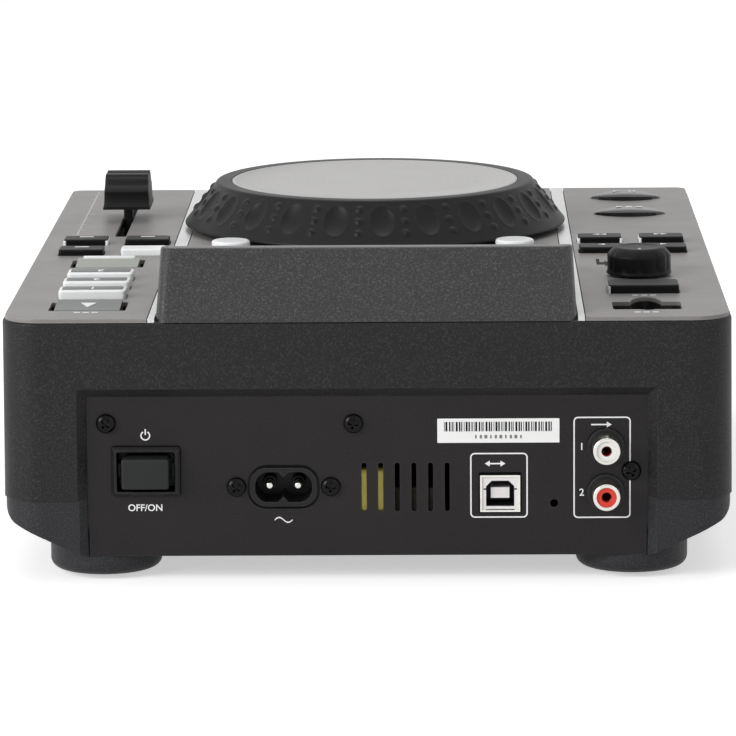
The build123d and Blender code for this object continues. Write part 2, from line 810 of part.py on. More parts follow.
# ================================================================ jog wheel
def make_jog():
    band_low = deck_height + jog_deck_gap
    band_top = band_low + jog_band_height
    shoulder = jog_shoulder_height
    disc_low = jog_top - jog_disc_thickness
    ring_inner = jog_disc_radius - 6.0
    slope_in = 3.0
    rim = turned([(jog_radius - 0.8, band_low), (jog_radius, band_low + 0.6), (jog_radius, band_top),
                  (jog_radius - 0.9, band_top + 0.9), (jog_shoulder_radius + 0.6, shoulder - 0.6),
                  (jog_shoulder_radius - 0.4, shoulder), (jog_disc_radius + 0.1, shoulder),
                  (jog_disc_radius + 0.1, disc_low), (ring_inner, disc_low), (ring_inner, disc_low - 2.0),
                  (jog_shoulder_radius - slope_in, disc_low - 2.0), (jog_radius - 4.0, band_top + 0.5),
                  (jog_radius - 4.0, band_low)], 0, jog_y)
    slope_run = jog_radius - 0.9 - jog_shoulder_radius - 0.6
    slope_rise = shoulder - 0.6 - band_top - 0.9
    tilt = math.degrees(math.atan2(slope_run, slope_rise))
    middle_r = (jog_radius - 0.9 + jog_shoulder_radius + 0.6) / 2
    middle_z = (band_top + 0.9 + shoulder - 0.6) / 2
    dimple = scale(Sphere(1), by=(1.0, jog_dimple_width / 2, jog_dimple_length / 2))
    for i in range(jog_dimples):
        angle = 360 / jog_dimples * i + jog_dimple_phase
        radius = middle_r + 1.0 - jog_dimple_depth
        place = Pos(0, jog_y, 0) * Rot(0, 0, angle) * Pos(radius, 0, middle_z) * Rot(0, -tilt, 0)
        rim -= place * dimple
    disc = post(0, jog_y, disc_low, jog_top, jog_disc_radius)
    disc = fillet(disc.faces().sort_by(Axis.Z)[-1].edges(), 0.4)
    plate_top = disc_low - 2.0
    neck_low = cover_top + 0.4
    shaft_low = code_wheel_height - 2.4
    hub = turned([(0, disc_low), (ring_inner - 0.1, disc_low), (ring_inner - 0.1, plate_top),
                  (jog_shoulder_radius - slope_in - 0.6, plate_top), (jog_shoulder_radius - slope_in - 1.2, plate_top - 1.6),
                  (jog_neck_radius, plate_top - 1.6), (jog_neck_radius, neck_low), (jog_shaft_radius, neck_low),
                  (jog_shaft_radius, code_wheel_height + code_wheel_thickness),
                  (code_wheel_radius, code_wheel_height + code_wheel_thickness),
                  (code_wheel_radius, code_wheel_height), (jog_shaft_radius, code_wheel_height),
                  (jog_shaft_radius, shaft_low), (0, shaft_low)], 0, jog_y)
    bore = jog_shaft_radius + shaft_play
    barrel_low = code_wheel_height + code_wheel_thickness + 0.6
    flange_low = roof_under - 3.0
    bearing = turned([(bore, barrel_low), (jog_neck_radius - 2, barrel_low), (jog_neck_radius - 2, flange_low),
                      (jog_bearing_radius, flange_low), (jog_bearing_radius, roof_under),
                      (jog_neck_radius, roof_under), (jog_neck_radius, cover_top), (bore, cover_top)], 0, jog_y)
    reach = code_wheel_radius + 2.5
    wheel_low = code_wheel_height
    wheel_top = code_wheel_height + code_wheel_thickness
    sensor = block(code_wheel_radius - 4, reach + 5, jog_y - 4, jog_y + 4, wheel_low - 3.5, wheel_top + 3.5)
    sensor -= block(code_wheel_radius - 5, reach, jog_y - 5, jog_y + 5, wheel_low - 1.0, wheel_top + 1.0)
    sensor += block(reach, reach + 5, jog_y - 4, jog_y + 4, wheel_top + 3, roof_under)
    return rim, disc, hub, bearing, sensor


# ================================================================ rear fittings
def pan_screw(x, y, z, direction, length):
    """Pan-head screw; direction is the way its head faces: 'rear' or 'down'."""
    head = Pos(0, 0, screw_head_height / 2) * Cylinder(screw_head_radius, screw_head_height)
    head = fillet(head.faces().sort_by(Axis.Z)[-1].edges(), 1.1)
    head -= Pos(0, 0, screw_head_height) * Box(3.2, 0.7, 1.6)
    head -= Pos(0, 0, screw_head_height) * Box(0.7, 3.2, 1.6)
    shank = Pos(0, 0, -length / 2) * Cylinder(screw_shank_radius, length)
    turn = Rot(-90, 0, 0) if direction == "rear" else Rot(180, 0, 0)
    return Pos(x, y, z) * turn * (head + shank)


def panel_screw_places():
    return [(panel_screw_left_x, panel_screw_left_z), (panel_screw_mid_x, panel_screw_mid_z),
            (panel_screw_right_x, panel_screw_right_z)]


def inlet_screw_places():
    return [(inlet_x - inlet_screw_pitch / 2, inlet_z), (inlet_x + inlet_screw_pitch / 2, inlet_z)]


def make_screws():
    screws = []
    for x, z in panel_screw_places() + inlet_screw_places():
        screws.append(pan_screw(x, panel_y, z, "rear", 8))
    for x, y in case_posts():
        screws.append(pan_screw(x, y, case_screw_seat, "down", case_screw_length))
    return screws


def inlet_outline(width, height, y0, y1):
    """Block with rounded ends and a shallow V notch at the middle, top and bottom."""
    body = panel_slab(inlet_x, inlet_z, y0, y1, width, height, height / 2 - 0.6)
    for side in (1, -1):
        bar = Box(inlet_notch_side, abs(y1 - y0) + 1, inlet_notch_side)
        body -= Pos(inlet_x, (y0 + y1) / 2, inlet_z + side * height / 2) * Rot(0, 45, 0) * bar
    return body


def rca_centres():
    return [rca_left_z, rca_left_z - rca_pitch]


def make_rear_panel():
    low = base_height + 0.1
    half = panel_half_width - 0.3
    y0 = panel_y - panel_thickness
    panel = block(-half, half, y0, panel_y, low, panel_top + panel_lip)
    panel += block(-half - panel_lip, half + panel_lip, y0, panel_y, base_height + panel_lip_rise, panel_top + panel_lip)
    panel -= block(switch_x - switch_mouth_width / 2 - 0.6, switch_x + switch_mouth_width / 2 + 0.6, y0 - 1, panel_y + 1,
                   switch_z - switch_mouth_height / 2 - 0.6, switch_z + switch_mouth_height / 2 + 0.6)
    cut_width, cut_height = inlet_width + 2 * inlet_gap, inlet_height + 2 * inlet_gap
    panel -= panel_slab(inlet_x, inlet_z, y0 - 1, panel_y + 1, cut_width, cut_height, cut_height / 2 - 1)
    for i in range(vent_count):
        x = vent_first_x - i * vent_pitch
        panel -= panel_slab(x, vent_z, y0 - 1, panel_y + 1, vent_width, vent_height, vent_width / 2 - 0.05)
    panel -= block(usb_b_x - usb_b_width / 2 - 0.2, usb_b_x + usb_b_width / 2 + 0.2, y0 - 1, panel_y + 1,
                   usb_b_z - usb_b_height / 2 - 0.2, usb_b_z + usb_b_height / 2 + 0.2)
    for z in rca_centres():
        panel -= rod_along_y(rca_x, z, y0 - 1, panel_y + 1, rca_collar_radius + 0.1)
    panel -= rod_along_y(reset_hole_x, reset_hole_z, y0 - 1, panel_y + 1, reset_hole_radius)
    for x, z in panel_screw_places() + inlet_screw_places():
        panel -= rod_along_y(x, z, y0 - 1, panel_y + 1, screw_shank_radius + screw_play)
    return panel


def make_switch():
    y_in = panel_y - panel_thickness
    bezel = panel_slab(switch_x, switch_z, panel_y, panel_y + switch_bezel_out, switch_bezel_width, switch_bezel_height, 0.8)
    bezel = chamfer(bezel.faces().sort_by(Axis.Y)[-1].edges(), 0.8)
    depth = 22.0
    case = block(switch_x - switch_mouth_width / 2 - 0.5, switch_x + switch_mouth_width / 2 + 0.5, panel_y - depth, panel_y + 0.5,
                 switch_z - switch_mouth_height / 2 - 0.5, switch_z + switch_mouth_height / 2 + 0.5)
    body = bezel + case
    pit = panel_slab(switch_x, switch_z, panel_y - 6, panel_y + 5, switch_mouth_width - 1.4, switch_mouth_height - 1.4, 0.5)
    mouth = panel_slab(switch_x, switch_z, panel_y - 5.9, panel_y + 5, switch_mouth_width, switch_mouth_height, 0.6)
    body -= mouth + pit
    body -= block(switch_x - 4 - moving_gap, switch_x + 4 + moving_gap, panel_y - depth + 3, panel_y + 5,
                  switch_z - 2.5 - moving_gap, switch_z + 2.5 + moving_gap)
    lug = block(switch_x - switch_mouth_width / 2 - 1.6, switch_x + switch_mouth_width / 2 + 1.6, y_in - 4, y_in,
                switch_z - 2, switch_z + 2)
    body += lug - block(switch_x - switch_mouth_width / 2 + 1, switch_x + switch_mouth_width / 2 - 1, y_in - 5, y_in + 1,
                        switch_z - 3, switch_z + 3)
    face_y = panel_y + switch_cap_out
    cap = panel_slab(switch_x, switch_z, panel_y - 2.0, face_y, switch_cap_width, switch_cap_height, 0.8)
    cap = fillet(cap.faces().sort_by(Axis.Y)[-1].edges(), 0.6)
    stem = block(switch_x - 4, switch_x + 4, panel_y - depth + 3.5 + switch_travel, panel_y - 1, switch_z - 2.5, switch_z + 2.5)
    return body, cap + stem


def make_inlet():
    y_face = panel_y + inlet_out
    y_in = panel_y - panel_thickness
    body = panel_slab(inlet_x, inlet_z, y_in - 16, y_face, inlet_width, inlet_height, inlet_height / 2 - 1.2)
    flange_height = inlet_height + 2 * (inlet_gap + inlet_flange_lap)
    flange = panel_slab(inlet_x, inlet_z, y_in - 2, y_in, inlet_screw_pitch + 8, flange_height, 3)
    body += flange
    body -= inlet_outline(inlet_mouth_width, inlet_mouth_height, y_face - inlet_mouth_depth, y_face + 1)
    for x, z in inlet_screw_places():
        body -= rod_along_y(x, z, y_in - 3, y_in + 1, screw_shank_radius + screw_play)
    pins = []
    for side in (1, -1):
        x = inlet_x + side * inlet_pin_pitch / 2
        pin = rod_along_y(x, inlet_z, y_face - inlet_mouth_depth, y_face - 2.0, inlet_pin_radius)
        pin = fillet(pin.faces().sort_by(Axis.Y)[-1].edges(), 0.8)
        pins.append(pin)
    return body, pins


def usb_b_plan(width, height, chamfer_size):
    """House-shaped outline of the socket: square with its two top corners cut."""
    x0 = usb_b_x - width / 2
    x1 = usb_b_x + width / 2
    z0 = usb_b_z - height / 2
    z1 = usb_b_z + height / 2
    return [(x0, z0), (x1, z0), (x1, z1 - chamfer_size), (x1 - chamfer_size, z1), (x0 + chamfer_size, z1),
            (x0, z1 - chamfer_size)]


def make_usb_b():
    y_face = panel_y + 0.6
    shell = block(usb_b_x - usb_b_width / 2, usb_b_x + usb_b_width / 2, y_face - usb_b_depth, y_face,
                  usb_b_z - usb_b_height / 2, usb_b_z + usb_b_height / 2)
    shell -= block(usb_b_x - usb_b_width / 2 + usb_b_wall, usb_b_x + usb_b_width / 2 - usb_b_wall, y_face - usb_b_depth - 1,
                   y_face + 1, usb_b_z - usb_b_height / 2 + usb_b_wall, usb_b_z + usb_b_height / 2 - usb_b_wall)
    fit = 2 * usb_b_wall + 0.04
    insert = block(usb_b_x - (usb_b_width - fit) / 2, usb_b_x + (usb_b_width - fit) / 2, y_face - usb_b_depth, y_face - 0.4,
                   usb_b_z - (usb_b_height - fit) / 2, usb_b_z + (usb_b_height - fit) / 2)
    cavity = prism_along_y(usb_b_plan(8.5, 7.8, 1.7), y_face - 9.5, y_face + 1)
    insert -= cavity
    tongue = block(usb_b_x - 2.8, usb_b_x + 2.8, y_face - 10, y_face - 1.6, usb_b_z - 1.6, usb_b_z + 1.6)
    return shell, insert + tongue


def make_rca():
    y_in = panel_y - panel_thickness
    mid_z = rca_left_z - rca_pitch / 2
    block_half = 6.0
    housing = block(rca_x - block_half, rca_x + block_half, y_in - 12, y_in - 0.1, main_board_top, mid_z + rca_pitch / 2 + 7)
    shells = []
    insulators = []
    tip_y = panel_y + rca_reach
    for z in rca_centres():
        housing += rod_along_y(rca_x, z, y_in - 1, panel_y + rca_collar_out, rca_collar_radius)
        housing -= rod_along_y(rca_x, z, y_in - 6, tip_y, rca_root_radius + 0.02)
        shell = rod_along_y(rca_x, z, panel_y + rca_collar_out, tip_y, rca_radius)
        shell = chamfer(shell.faces().sort_by(Axis.Y)[-1].edges(), 0.4)
        shell += rod_along_y(rca_x, z, y_in - 6, panel_y + rca_collar_out, rca_root_radius)
        shell -= rod_along_y(rca_x, z, y_in - 7, tip_y + 1, rca_radius - 0.5)
        shells.append(shell)
        core = rod_along_y(rca_x, z, y_in - 6, tip_y - 0.6, rca_radius - 0.52)
        core -= rod_along_y(rca_x, z, y_in - 4, tip_y + 1, rca_hole_radius)
        insulators.append(core)
    return housing, shells, insulators


# ================================================================ boards
def make_main_board():
    board = block(main_board_x0, main_board_x1, from_rear(main_board_far), from_rear(main_board_near),
                  main_board_bottom, main_board_top)
    chips = [block(-75, -51, from_rear(88), from_rear(64), main_board_top, main_board_top + 1.6),
             block(-48, -38, from_rear(96), from_rear(78), main_board_top, main_board_top + 1.2),
             block(-88, -80, from_rear(118), from_rear(92), main_board_top, main_board_top + 6.0)]
    for chip in chips:
        board += chip
    return board


def make_psu():
    top = psu_board_height + board_thickness
    board = block(psu_board_x0, psu_board_x1, from_rear(psu_board_far), from_rear(psu_board_near), psu_board_height, top)
    sink = block(60, 84, from_rear(44), from_rear(41), top, top + 18)
    board += sink
    core = block(-7, 13, from_rear(42), from_rear(22), top, top + 18.4)
    core = chamfer(core.edges().filter_by(Axis.Z), 1.5)
    caps = []
    for x in (-10.5, -15.8, -21.0):
        caps.append(post(x, from_rear(19), top, top + 9.5, 2.5))
    caps.append(post(30, from_rear(52), top, top + 22, 8))
    caps.append(post(48, from_rear(36), top, top + 15, 5))
    return board, core, caps


def make_usb_a():
    half_x = usb_pit_width / 2 + 1.6
    y0 = from_rear(usb_relief_back + usb_relief_length / 2 + 1.4)
    y1 = from_rear(12.3)
    cup = block(-column_x - half_x, -column_x + half_x, y0, y1, key_board_top, roof_under)
    cup -= usb_pit(usb_pit_floor, roof_under + 1, 0.0)
    y = from_rear(usb_pit_back)
    cup -= block(-column_x - 6.2, -column_x + 6.2, y - 2.3, y + 2.3, key_board_top + 0.8, usb_pit_floor + 1)
    cup += block(-column_x - 5.6, -column_x + 5.6, y - 1.7, y + 0.1, key_board_top + 0.5, usb_pit_floor - 0.3)
    return cup


# ================================================================ disc drive
def make_drive():
    w = drive_half_width
    pan = block(-w, w, drive_front_y, drive_rear_y, drive_bottom, drive_top - drive_sheet)
    pan -= block(-w + drive_sheet, w - drive_sheet, drive_front_y + drive_sheet, drive_rear_y - drive_sheet,
                 drive_bottom + drive_sheet, drive_top + 1)
    pan -= block(-slot_half_width, slot_half_width, drive_front_y - 1, drive_front_y + drive_sheet + 1,
                 slot_height - slot_gap / 2, slot_height + slot_gap / 2)
    roller_y = front_y + roller_front
    pan -= rod_along_x(roller_y, roller_height, -w - 1, w + 1, roller_shaft_radius + shaft_play)
    lid = block(-w, w, drive_front_y, drive_rear_y, drive_top - drive_sheet, drive_top)
    spindle_y = front_y + spindle_front
    for x in (-30, 30):
        lid -= block(x - 8, x + 8, spindle_y - 25, spindle_y + 25, drive_top - 3, drive_top + 1)
    rods = []
    for side in (1, -1):
        y = spindle_y + side * rod_offset
        rods.append(rod_along_x(y, rod_height, -w + drive_sheet, w - drive_sheet, rod_radius))
    motor = post(0, spindle_y, drive_bottom + drive_sheet, rod_height + 2, motor_radius)
    motor -= post(0, spindle_y, drive_bottom + drive_sheet + 3, rod_height + 3, spindle_radius + shaft_play)
    hub = turned([(0, drive_bottom + drive_sheet + 3.3), (spindle_radius, drive_bottom + drive_sheet + 3.3),
                  (spindle_radius, 31.0), (turntable_radius, 31.0), (turntable_radius, 33.2), (7.3, 33.2),
                  (7.3, 34.0), (5.6, 36.5), (0, 36.5)], 0, spindle_y)
    roller = rod_along_x(roller_y, roller_height, -60, 60, roller_radius)
    roller += rod_along_x(roller_y, roller_height, -w - 0.8, w + 0.8, roller_shaft_radius)
    sled = block(15, 35, spindle_y - rod_offset - 4, spindle_y + rod_offset + 4, rod_height - 3.2, rod_height + 3.6)
    sled += post(25, spindle_y, rod_height + 3, rod_height + 5.4, 3.5)
    for side in (1, -1):
        sled -= rod_along_x(spindle_y + side * rod_offset, rod_height, 10, 40, rod_radius + shaft_play)
    return pan, lid, rods, motor, hub, roller, sled


# ================================================================ build
def build():
    save("top_cover", make_top_cover())
    save("bottom_cover", make_bottom_cover())
    centre, sides, strips = make_deck_plates()
    save("deck_plate_centre", centre)
    save("deck_plates_side", *sides)
    save("trim_strips", *strips)
    housing, window, module = make_display()
    save("display_housing", housing)
    save("display_window", window)
    save("display_module", module)
    save("rear_panel", make_rear_panel())
    save("screws", *make_screws())
    feet = [post(x, y, 0, foot_thickness, foot_radius) for x in (foot_x, -foot_x)
            for y in (from_rear(foot_back), front_y + foot_back)]
    save("feet", *[fillet(f.faces().sort_by(Axis.Z)[0].edges(), 0.5) for f in feet])
    switch, button = make_switch()
    save("power_switch", switch)
    save("power_button", button)
    inlet, pins = make_inlet()
    save("ac_inlet", inlet)
    save("ac_pins", *pins)
    shell, insert = make_usb_b()
    save("usb_b_shell", shell)
    save("usb_b_insert", insert)
    rca, shells, cores = make_rca()
    save("rca_block", rca)
    save("rca_shells", *shells)
    save("rca_core_left", cores[0])
    save("rca_core_right", cores[1])
    save("main_board", make_main_board())
    board, core, caps = make_psu()
    save("psu_board", board)
    save("psu_transformer", core)
    save("psu_capacitors", *caps)
    save("key_boards", *make_key_boards())
    save("key_switches", *make_key_switches())
    rim, disc, hub, bearing, sensor = make_jog()
    save("jog_rim", rim)
    save("jog_disc", disc)
    save("jog_hub", hub)
    save("jog_bearing", bearing)
    save("jog_sensor", sensor)
    knob, body = make_pitch()
    save("pitch_knob", knob)
    save("pitch_fader", body)
    knob, shaft, bush = make_select()
    save("select_knob", knob)
    save("select_shaft", shaft)
    save("select_encoder", bush)
    save("usb_a_socket", make_usb_a())
    names = {1: "right", -1: "left"}
    for side, name in names.items():
        number = 1
        for back in (row_one_back, row_two_back):
            for step in (-0.5, 0.5):
                x = side * column_x + step * small_key_pitch
                save(f"key_{name}_{number}", make_small_key(x, back))
                number += 1
        save(f"key_round_{name}", make_round_key(side * round_key_x))
    for row in range(3):
        pad = make_wide_key(column_x, pad_first_back + row * pad_pitch, pad_width, pad_length, pad_height)
        save(f"pad_{row + 1}", pad)
    save("key_eject", make_slot_key(eject_back))
    save("key_menu", make_slot_key(menu_back))
    save("key_back", make_wide_key(-column_x, back_key_back, back_key_width, back_key_length, back_key_height))
    save("key_cue", make_almond_key(cue_back))
    save("key_play", make_almond_key(play_back))
    pan, lid, rods, motor, hub, roller, sled = make_drive()
    save("drive_chassis", pan, lid, *rods, motor)
    save("spindle_hub", hub)
    save("loading_roller", roller)
    save("laser_sled", sled)


build()
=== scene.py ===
"""Finishes and visible detail of a tabletop disc player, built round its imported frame."""
import logging
import math
from contextlib import contextmanager
from dataclasses import dataclass, replace
from enum import Enum
from typing import Callable, Iterator, Sequence

import bmesh
import bpy
from mathutils import Matrix, Vector


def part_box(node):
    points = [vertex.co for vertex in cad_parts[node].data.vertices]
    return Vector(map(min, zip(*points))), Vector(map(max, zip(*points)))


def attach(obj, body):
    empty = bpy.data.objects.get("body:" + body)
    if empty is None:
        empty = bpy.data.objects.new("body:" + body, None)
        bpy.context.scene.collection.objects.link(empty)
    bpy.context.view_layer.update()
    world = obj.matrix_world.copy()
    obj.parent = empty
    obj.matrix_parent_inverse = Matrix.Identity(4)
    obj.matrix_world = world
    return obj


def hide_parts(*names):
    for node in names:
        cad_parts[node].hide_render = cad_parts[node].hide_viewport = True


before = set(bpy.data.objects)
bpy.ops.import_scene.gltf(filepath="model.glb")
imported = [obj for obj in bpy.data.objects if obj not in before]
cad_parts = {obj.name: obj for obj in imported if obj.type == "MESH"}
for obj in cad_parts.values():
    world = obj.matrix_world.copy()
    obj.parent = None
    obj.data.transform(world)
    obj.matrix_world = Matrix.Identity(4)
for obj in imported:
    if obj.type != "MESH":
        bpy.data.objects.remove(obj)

LOG = logging.getLogger("disc_player")
MM = 0.001
WELD = 0.002 * MM
IMAGE_SIDE = 736
SENSOR = 36.0
Piece = bpy.types.Object
Socket = bpy.types.NodeSocket
Point = tuple[float, float, float]
Flat = tuple[float, float]


# ---------------------------------------------------------------- modelling helpers
def span(node: str) -> tuple[Vector, Vector, Vector]:
    """Lowest corner, highest corner and centre of a node's box."""
    low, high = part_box(node)
    return low, high, (low + high) / 2


def shifted(points: Sequence[Flat], across: float, up: float) -> list[Flat]:
    """Points given in millimetres from a place in the same plane."""
    return [(across + x * MM, up + y * MM) for x, y in points]


def only(obj: Piece) -> None:
    """Make obj the one selected and active object.

    Args:
        obj: The object.
    """
    bpy.ops.object.select_all(action="DESELECT")
    obj.select_set(True)
    bpy.context.view_layer.objects.active = obj


@contextmanager
def editing(obj: Piece) -> Iterator[None]:
    """Edit mode on obj, with everything in it selected at the start.

    Args:
        obj: The object.
    """
    only(obj)
    bpy.ops.object.mode_set(mode="EDIT")
    bpy.ops.mesh.select_mode(type="VERT")
    bpy.ops.mesh.select_all(action="SELECT")
    yield
    bpy.ops.object.mode_set(mode="OBJECT")


def pick(obj: Piece, kind: str, test: Callable[..., bool]) -> None:
    """Select in edit mode only the elements that pass a test.

    Args:
        obj: The object in edit mode.
        kind: FACE, EDGE or VERT.
        test: Says whether an element is taken.
    """
    bpy.ops.mesh.select_mode(type=kind)
    bpy.ops.mesh.select_all(action="DESELECT")
    mesh = bmesh.from_edit_mesh(obj.data)
    for element in {"FACE": mesh.faces, "EDGE": mesh.edges, "VERT": mesh.verts}[kind]:
        if test(element):
            element.select_set(True)
    mesh.select_flush_mode()
    bmesh.update_edit_mesh(obj.data)


def push(travel: Point) -> None:
    """Extrude what is selected by a vector."""
    bpy.ops.mesh.extrude_region_move(TRANSFORM_OT_translate={"value": travel})


def face_outwards(weld: bool = False) -> None:
    """Turn every face outwards, after doubled points are merged where weld is true.

    Args:
        weld: Whether doubled points are merged first.
    """
    bpy.ops.mesh.select_all(action="SELECT")
    if weld:
        bpy.ops.mesh.remove_doubles(threshold=WELD)
    bpy.ops.mesh.normals_make_consistent(inside=False)


def settle(obj: Piece) -> None:
    """Put obj's place, turn and scale into its mesh."""
    only(obj)
    bpy.ops.object.transform_apply(location=True, rotation=True, scale=True)


def place(obj: Piece, matrix: Matrix) -> Piece:
    """Move and turn a piece that was modelled on the origin.

    Args:
        obj: The piece.
        matrix: Its move and turn.

    Returns:
        The same piece.
    """
    obj.matrix_world = matrix @ obj.matrix_world
    settle(obj)
    return obj


def lay_on(obj: Piece, spot: Point) -> Piece:
    """Move a piece modelled on the origin to its place."""
    return place(obj, Matrix.Translation(spot))


def stand_up(obj: Piece, spot: Point) -> Piece:
    """Turn a piece modelled flat so that it is read on a face that looks along +Y."""
    turn = Matrix(((-1, 0, 0), (0, 0, 1), (0, 1, 0))).to_4x4()
    return place(obj, Matrix.Translation(spot) @ turn)


def apply_modifier(obj: Piece, kind: str, **values: object) -> None:
    """Add a modifier with these values and apply it.

    Args:
        obj: The object.
        kind: The type of the modifier.
        **values: Its settings.
    """
    only(obj)
    modifier = obj.modifiers.new(kind.title(), kind)
    for key, value in values.items():
        setattr(modifier, key, value)
    bpy.ops.object.modifier_apply(modifier=modifier.name)


def draw_path(name: str, points: Sequence[Point]) -> Piece:
    """A line of edges through the points, made by extruding one vertex along them.

    Args:
        name: The object's name.
        points: The points in order.

    Returns:
        The mesh object.
    """
    bpy.ops.object.select_all(action="DESELECT")
    bpy.ops.mesh.primitive_plane_add(size=MM, location=points[0])
    obj = bpy.context.object
    obj.name = name
    settle(obj)
    with editing(obj):
        bpy.ops.mesh.merge(type="CENTER")
        for before, after in zip(points, points[1:]):
            push(Vector(after) - Vector(before))
    return obj


def lathe(name: str, profile: Sequence[Flat], centre: Point, steps: int, along: str = "Z") -> Piece:
    """Spin a profile about an upright or a front-to-back axis.

    Args:
        name: The object's name.
        profile: Radius and height of each point, from the centre.
        centre: A point on the axis.
        steps: Number of segments round the axis.
        along: Z for an upright axis, Y for one that runs front to back.

    Returns:
        The closed mesh object.
    """
    upright = along == "Z"
    obj = draw_path(name, [Vector(centre) + (Vector((r, 0, h)) if upright else Vector((r, h, 0)))
                           for r, h in profile])
    with editing(obj):
        axis = (0, 0, 1) if upright else (0, 1, 0)
        bpy.ops.mesh.spin(steps=steps, angle=math.tau, center=centre, axis=axis)
        face_outwards(weld=True)
    return obj


def prism(name: str, outline: Sequence[Point], travel: Point) -> Piece:
    """Extrude a closed outline along a vector.

    Args:
        name: The object's name.
        outline: Its corners in order.
        travel: The vector.

    Returns:
        The closed mesh object.
    """
    obj = draw_path(name, outline)
    with editing(obj):
        bpy.ops.mesh.edge_face_add()
        push(travel)
        face_outwards()
    return obj


def flat_shape(name: str, outline: Sequence[Flat], rise: float) -> Piece:
    """A thin plate of any outline, lying flat on the origin."""
    return prism(name, [(x, y, 0) for x, y in outline], (0, 0, rise))


def tile(name: str, centre: Point, size: Point, corner: float = 0.0, edge: float = 0.0) -> Piece:
    """A plate with rounded corners and a softened top edge, lying flat.

    Args:
        name: The object's name.
        centre: Centre of its underside.
        size: Size along X, Y and Z.
        corner: Radius of the plan corners.
        edge: Radius of the top edge, 0 for a sharp one.

    Returns:
        The mesh object.
    """
    bpy.ops.object.select_all(action="DESELECT")
    bpy.ops.mesh.primitive_plane_add(size=1, location=centre)
    obj = bpy.context.object
    obj.name = name
    obj.scale = (size[0], size[1], 1)
    settle(obj)
    with editing(obj):
        if corner > 0:
            bpy.ops.mesh.bevel(affect="VERTICES", offset=corner, offset_type="OFFSET", segments=6)
        bpy.ops.mesh.select_all(action="SELECT")
        push((0, 0, size[2]))
        face_outwards()
        if edge > 0:
            top = centre[2] + size[2]
            pick(obj, "EDGE", lambda e: all(abs(v.co.z - top) < WELD / 2 for v in e.verts))
            bpy.ops.mesh.bevel(offset=edge, segments=3)
    return obj


def frame_outline(name: str, middle: Flat, size: Point, y: float, corner: float, line: float) -> Piece:
    """A rounded rectangular line on an upright face that looks along +Y.

    Args:
        name: The object's name.
        middle: X and z of its centre.
        size: Outer width, outer height and thickness.
        y: Y of the face.
        corner: Radius of its outer corners.
        line: Width of the line.

    Returns:
        The mesh object.
    """
    obj = tile(name, (0, 0, 0), size, corner)
    with editing(obj):
        for side in (1, -1):
            pick(obj, "FACE", lambda f: f.normal.z * side > 0.9)
            bpy.ops.mesh.inset(thickness=line)
            bpy.ops.mesh.delete(type="FACE")
        pick(obj, "EDGE", lambda e: e.is_boundary)
        bpy.ops.mesh.bridge_edge_loops()
        face_outwards()
    return stand_up(obj, (middle[0], y, middle[1]))


def lettering(name: str, body: str, height: float, rise: float) -> Piece:
    """Raised characters as a mesh, centred on the origin.

    Args:
        name: The object's name.
        body: The characters.
        height: Height of a capital.
        rise: Thickness of the print.

    Returns:
        The mesh object.
    """
    bpy.ops.object.select_all(action="DESELECT")
    bpy.ops.object.text_add(location=(0, 0, 0))
    obj = bpy.context.object
    obj.name = name
    obj.data.body = body
    obj.data.size = height / 0.69
    obj.data.extrude = rise / 2
    obj.data.offset = height * 0.02
    obj.data.resolution_u = 4
    obj.data.align_x = obj.data.align_y = "CENTER"
    bpy.ops.object.convert(target="MESH")
    return bpy.context.object


def copy_of(source: Piece, name: str) -> Piece:
    """A copy of source with its own mesh.

    Args:
        source: The object to copy.
        name: The copy's name.

    Returns:
        The copy.
    """
    twin = source.copy()
    twin.data = source.data.copy()
    twin.name = name
    bpy.context.scene.collection.objects.link(twin)
    return twin


def join_all(name: str, pieces: Sequence[Piece]) -> Piece:
    """Join several pieces into one object of this name.

    Args:
        name: The new object's name.
        pieces: The pieces to join.

    Returns:
        The joined object.
    """
    only(pieces[0])
    for piece in pieces:
        piece.select_set(True)
    bpy.ops.object.join()
    joined = bpy.context.object
    joined.name = name
    return joined


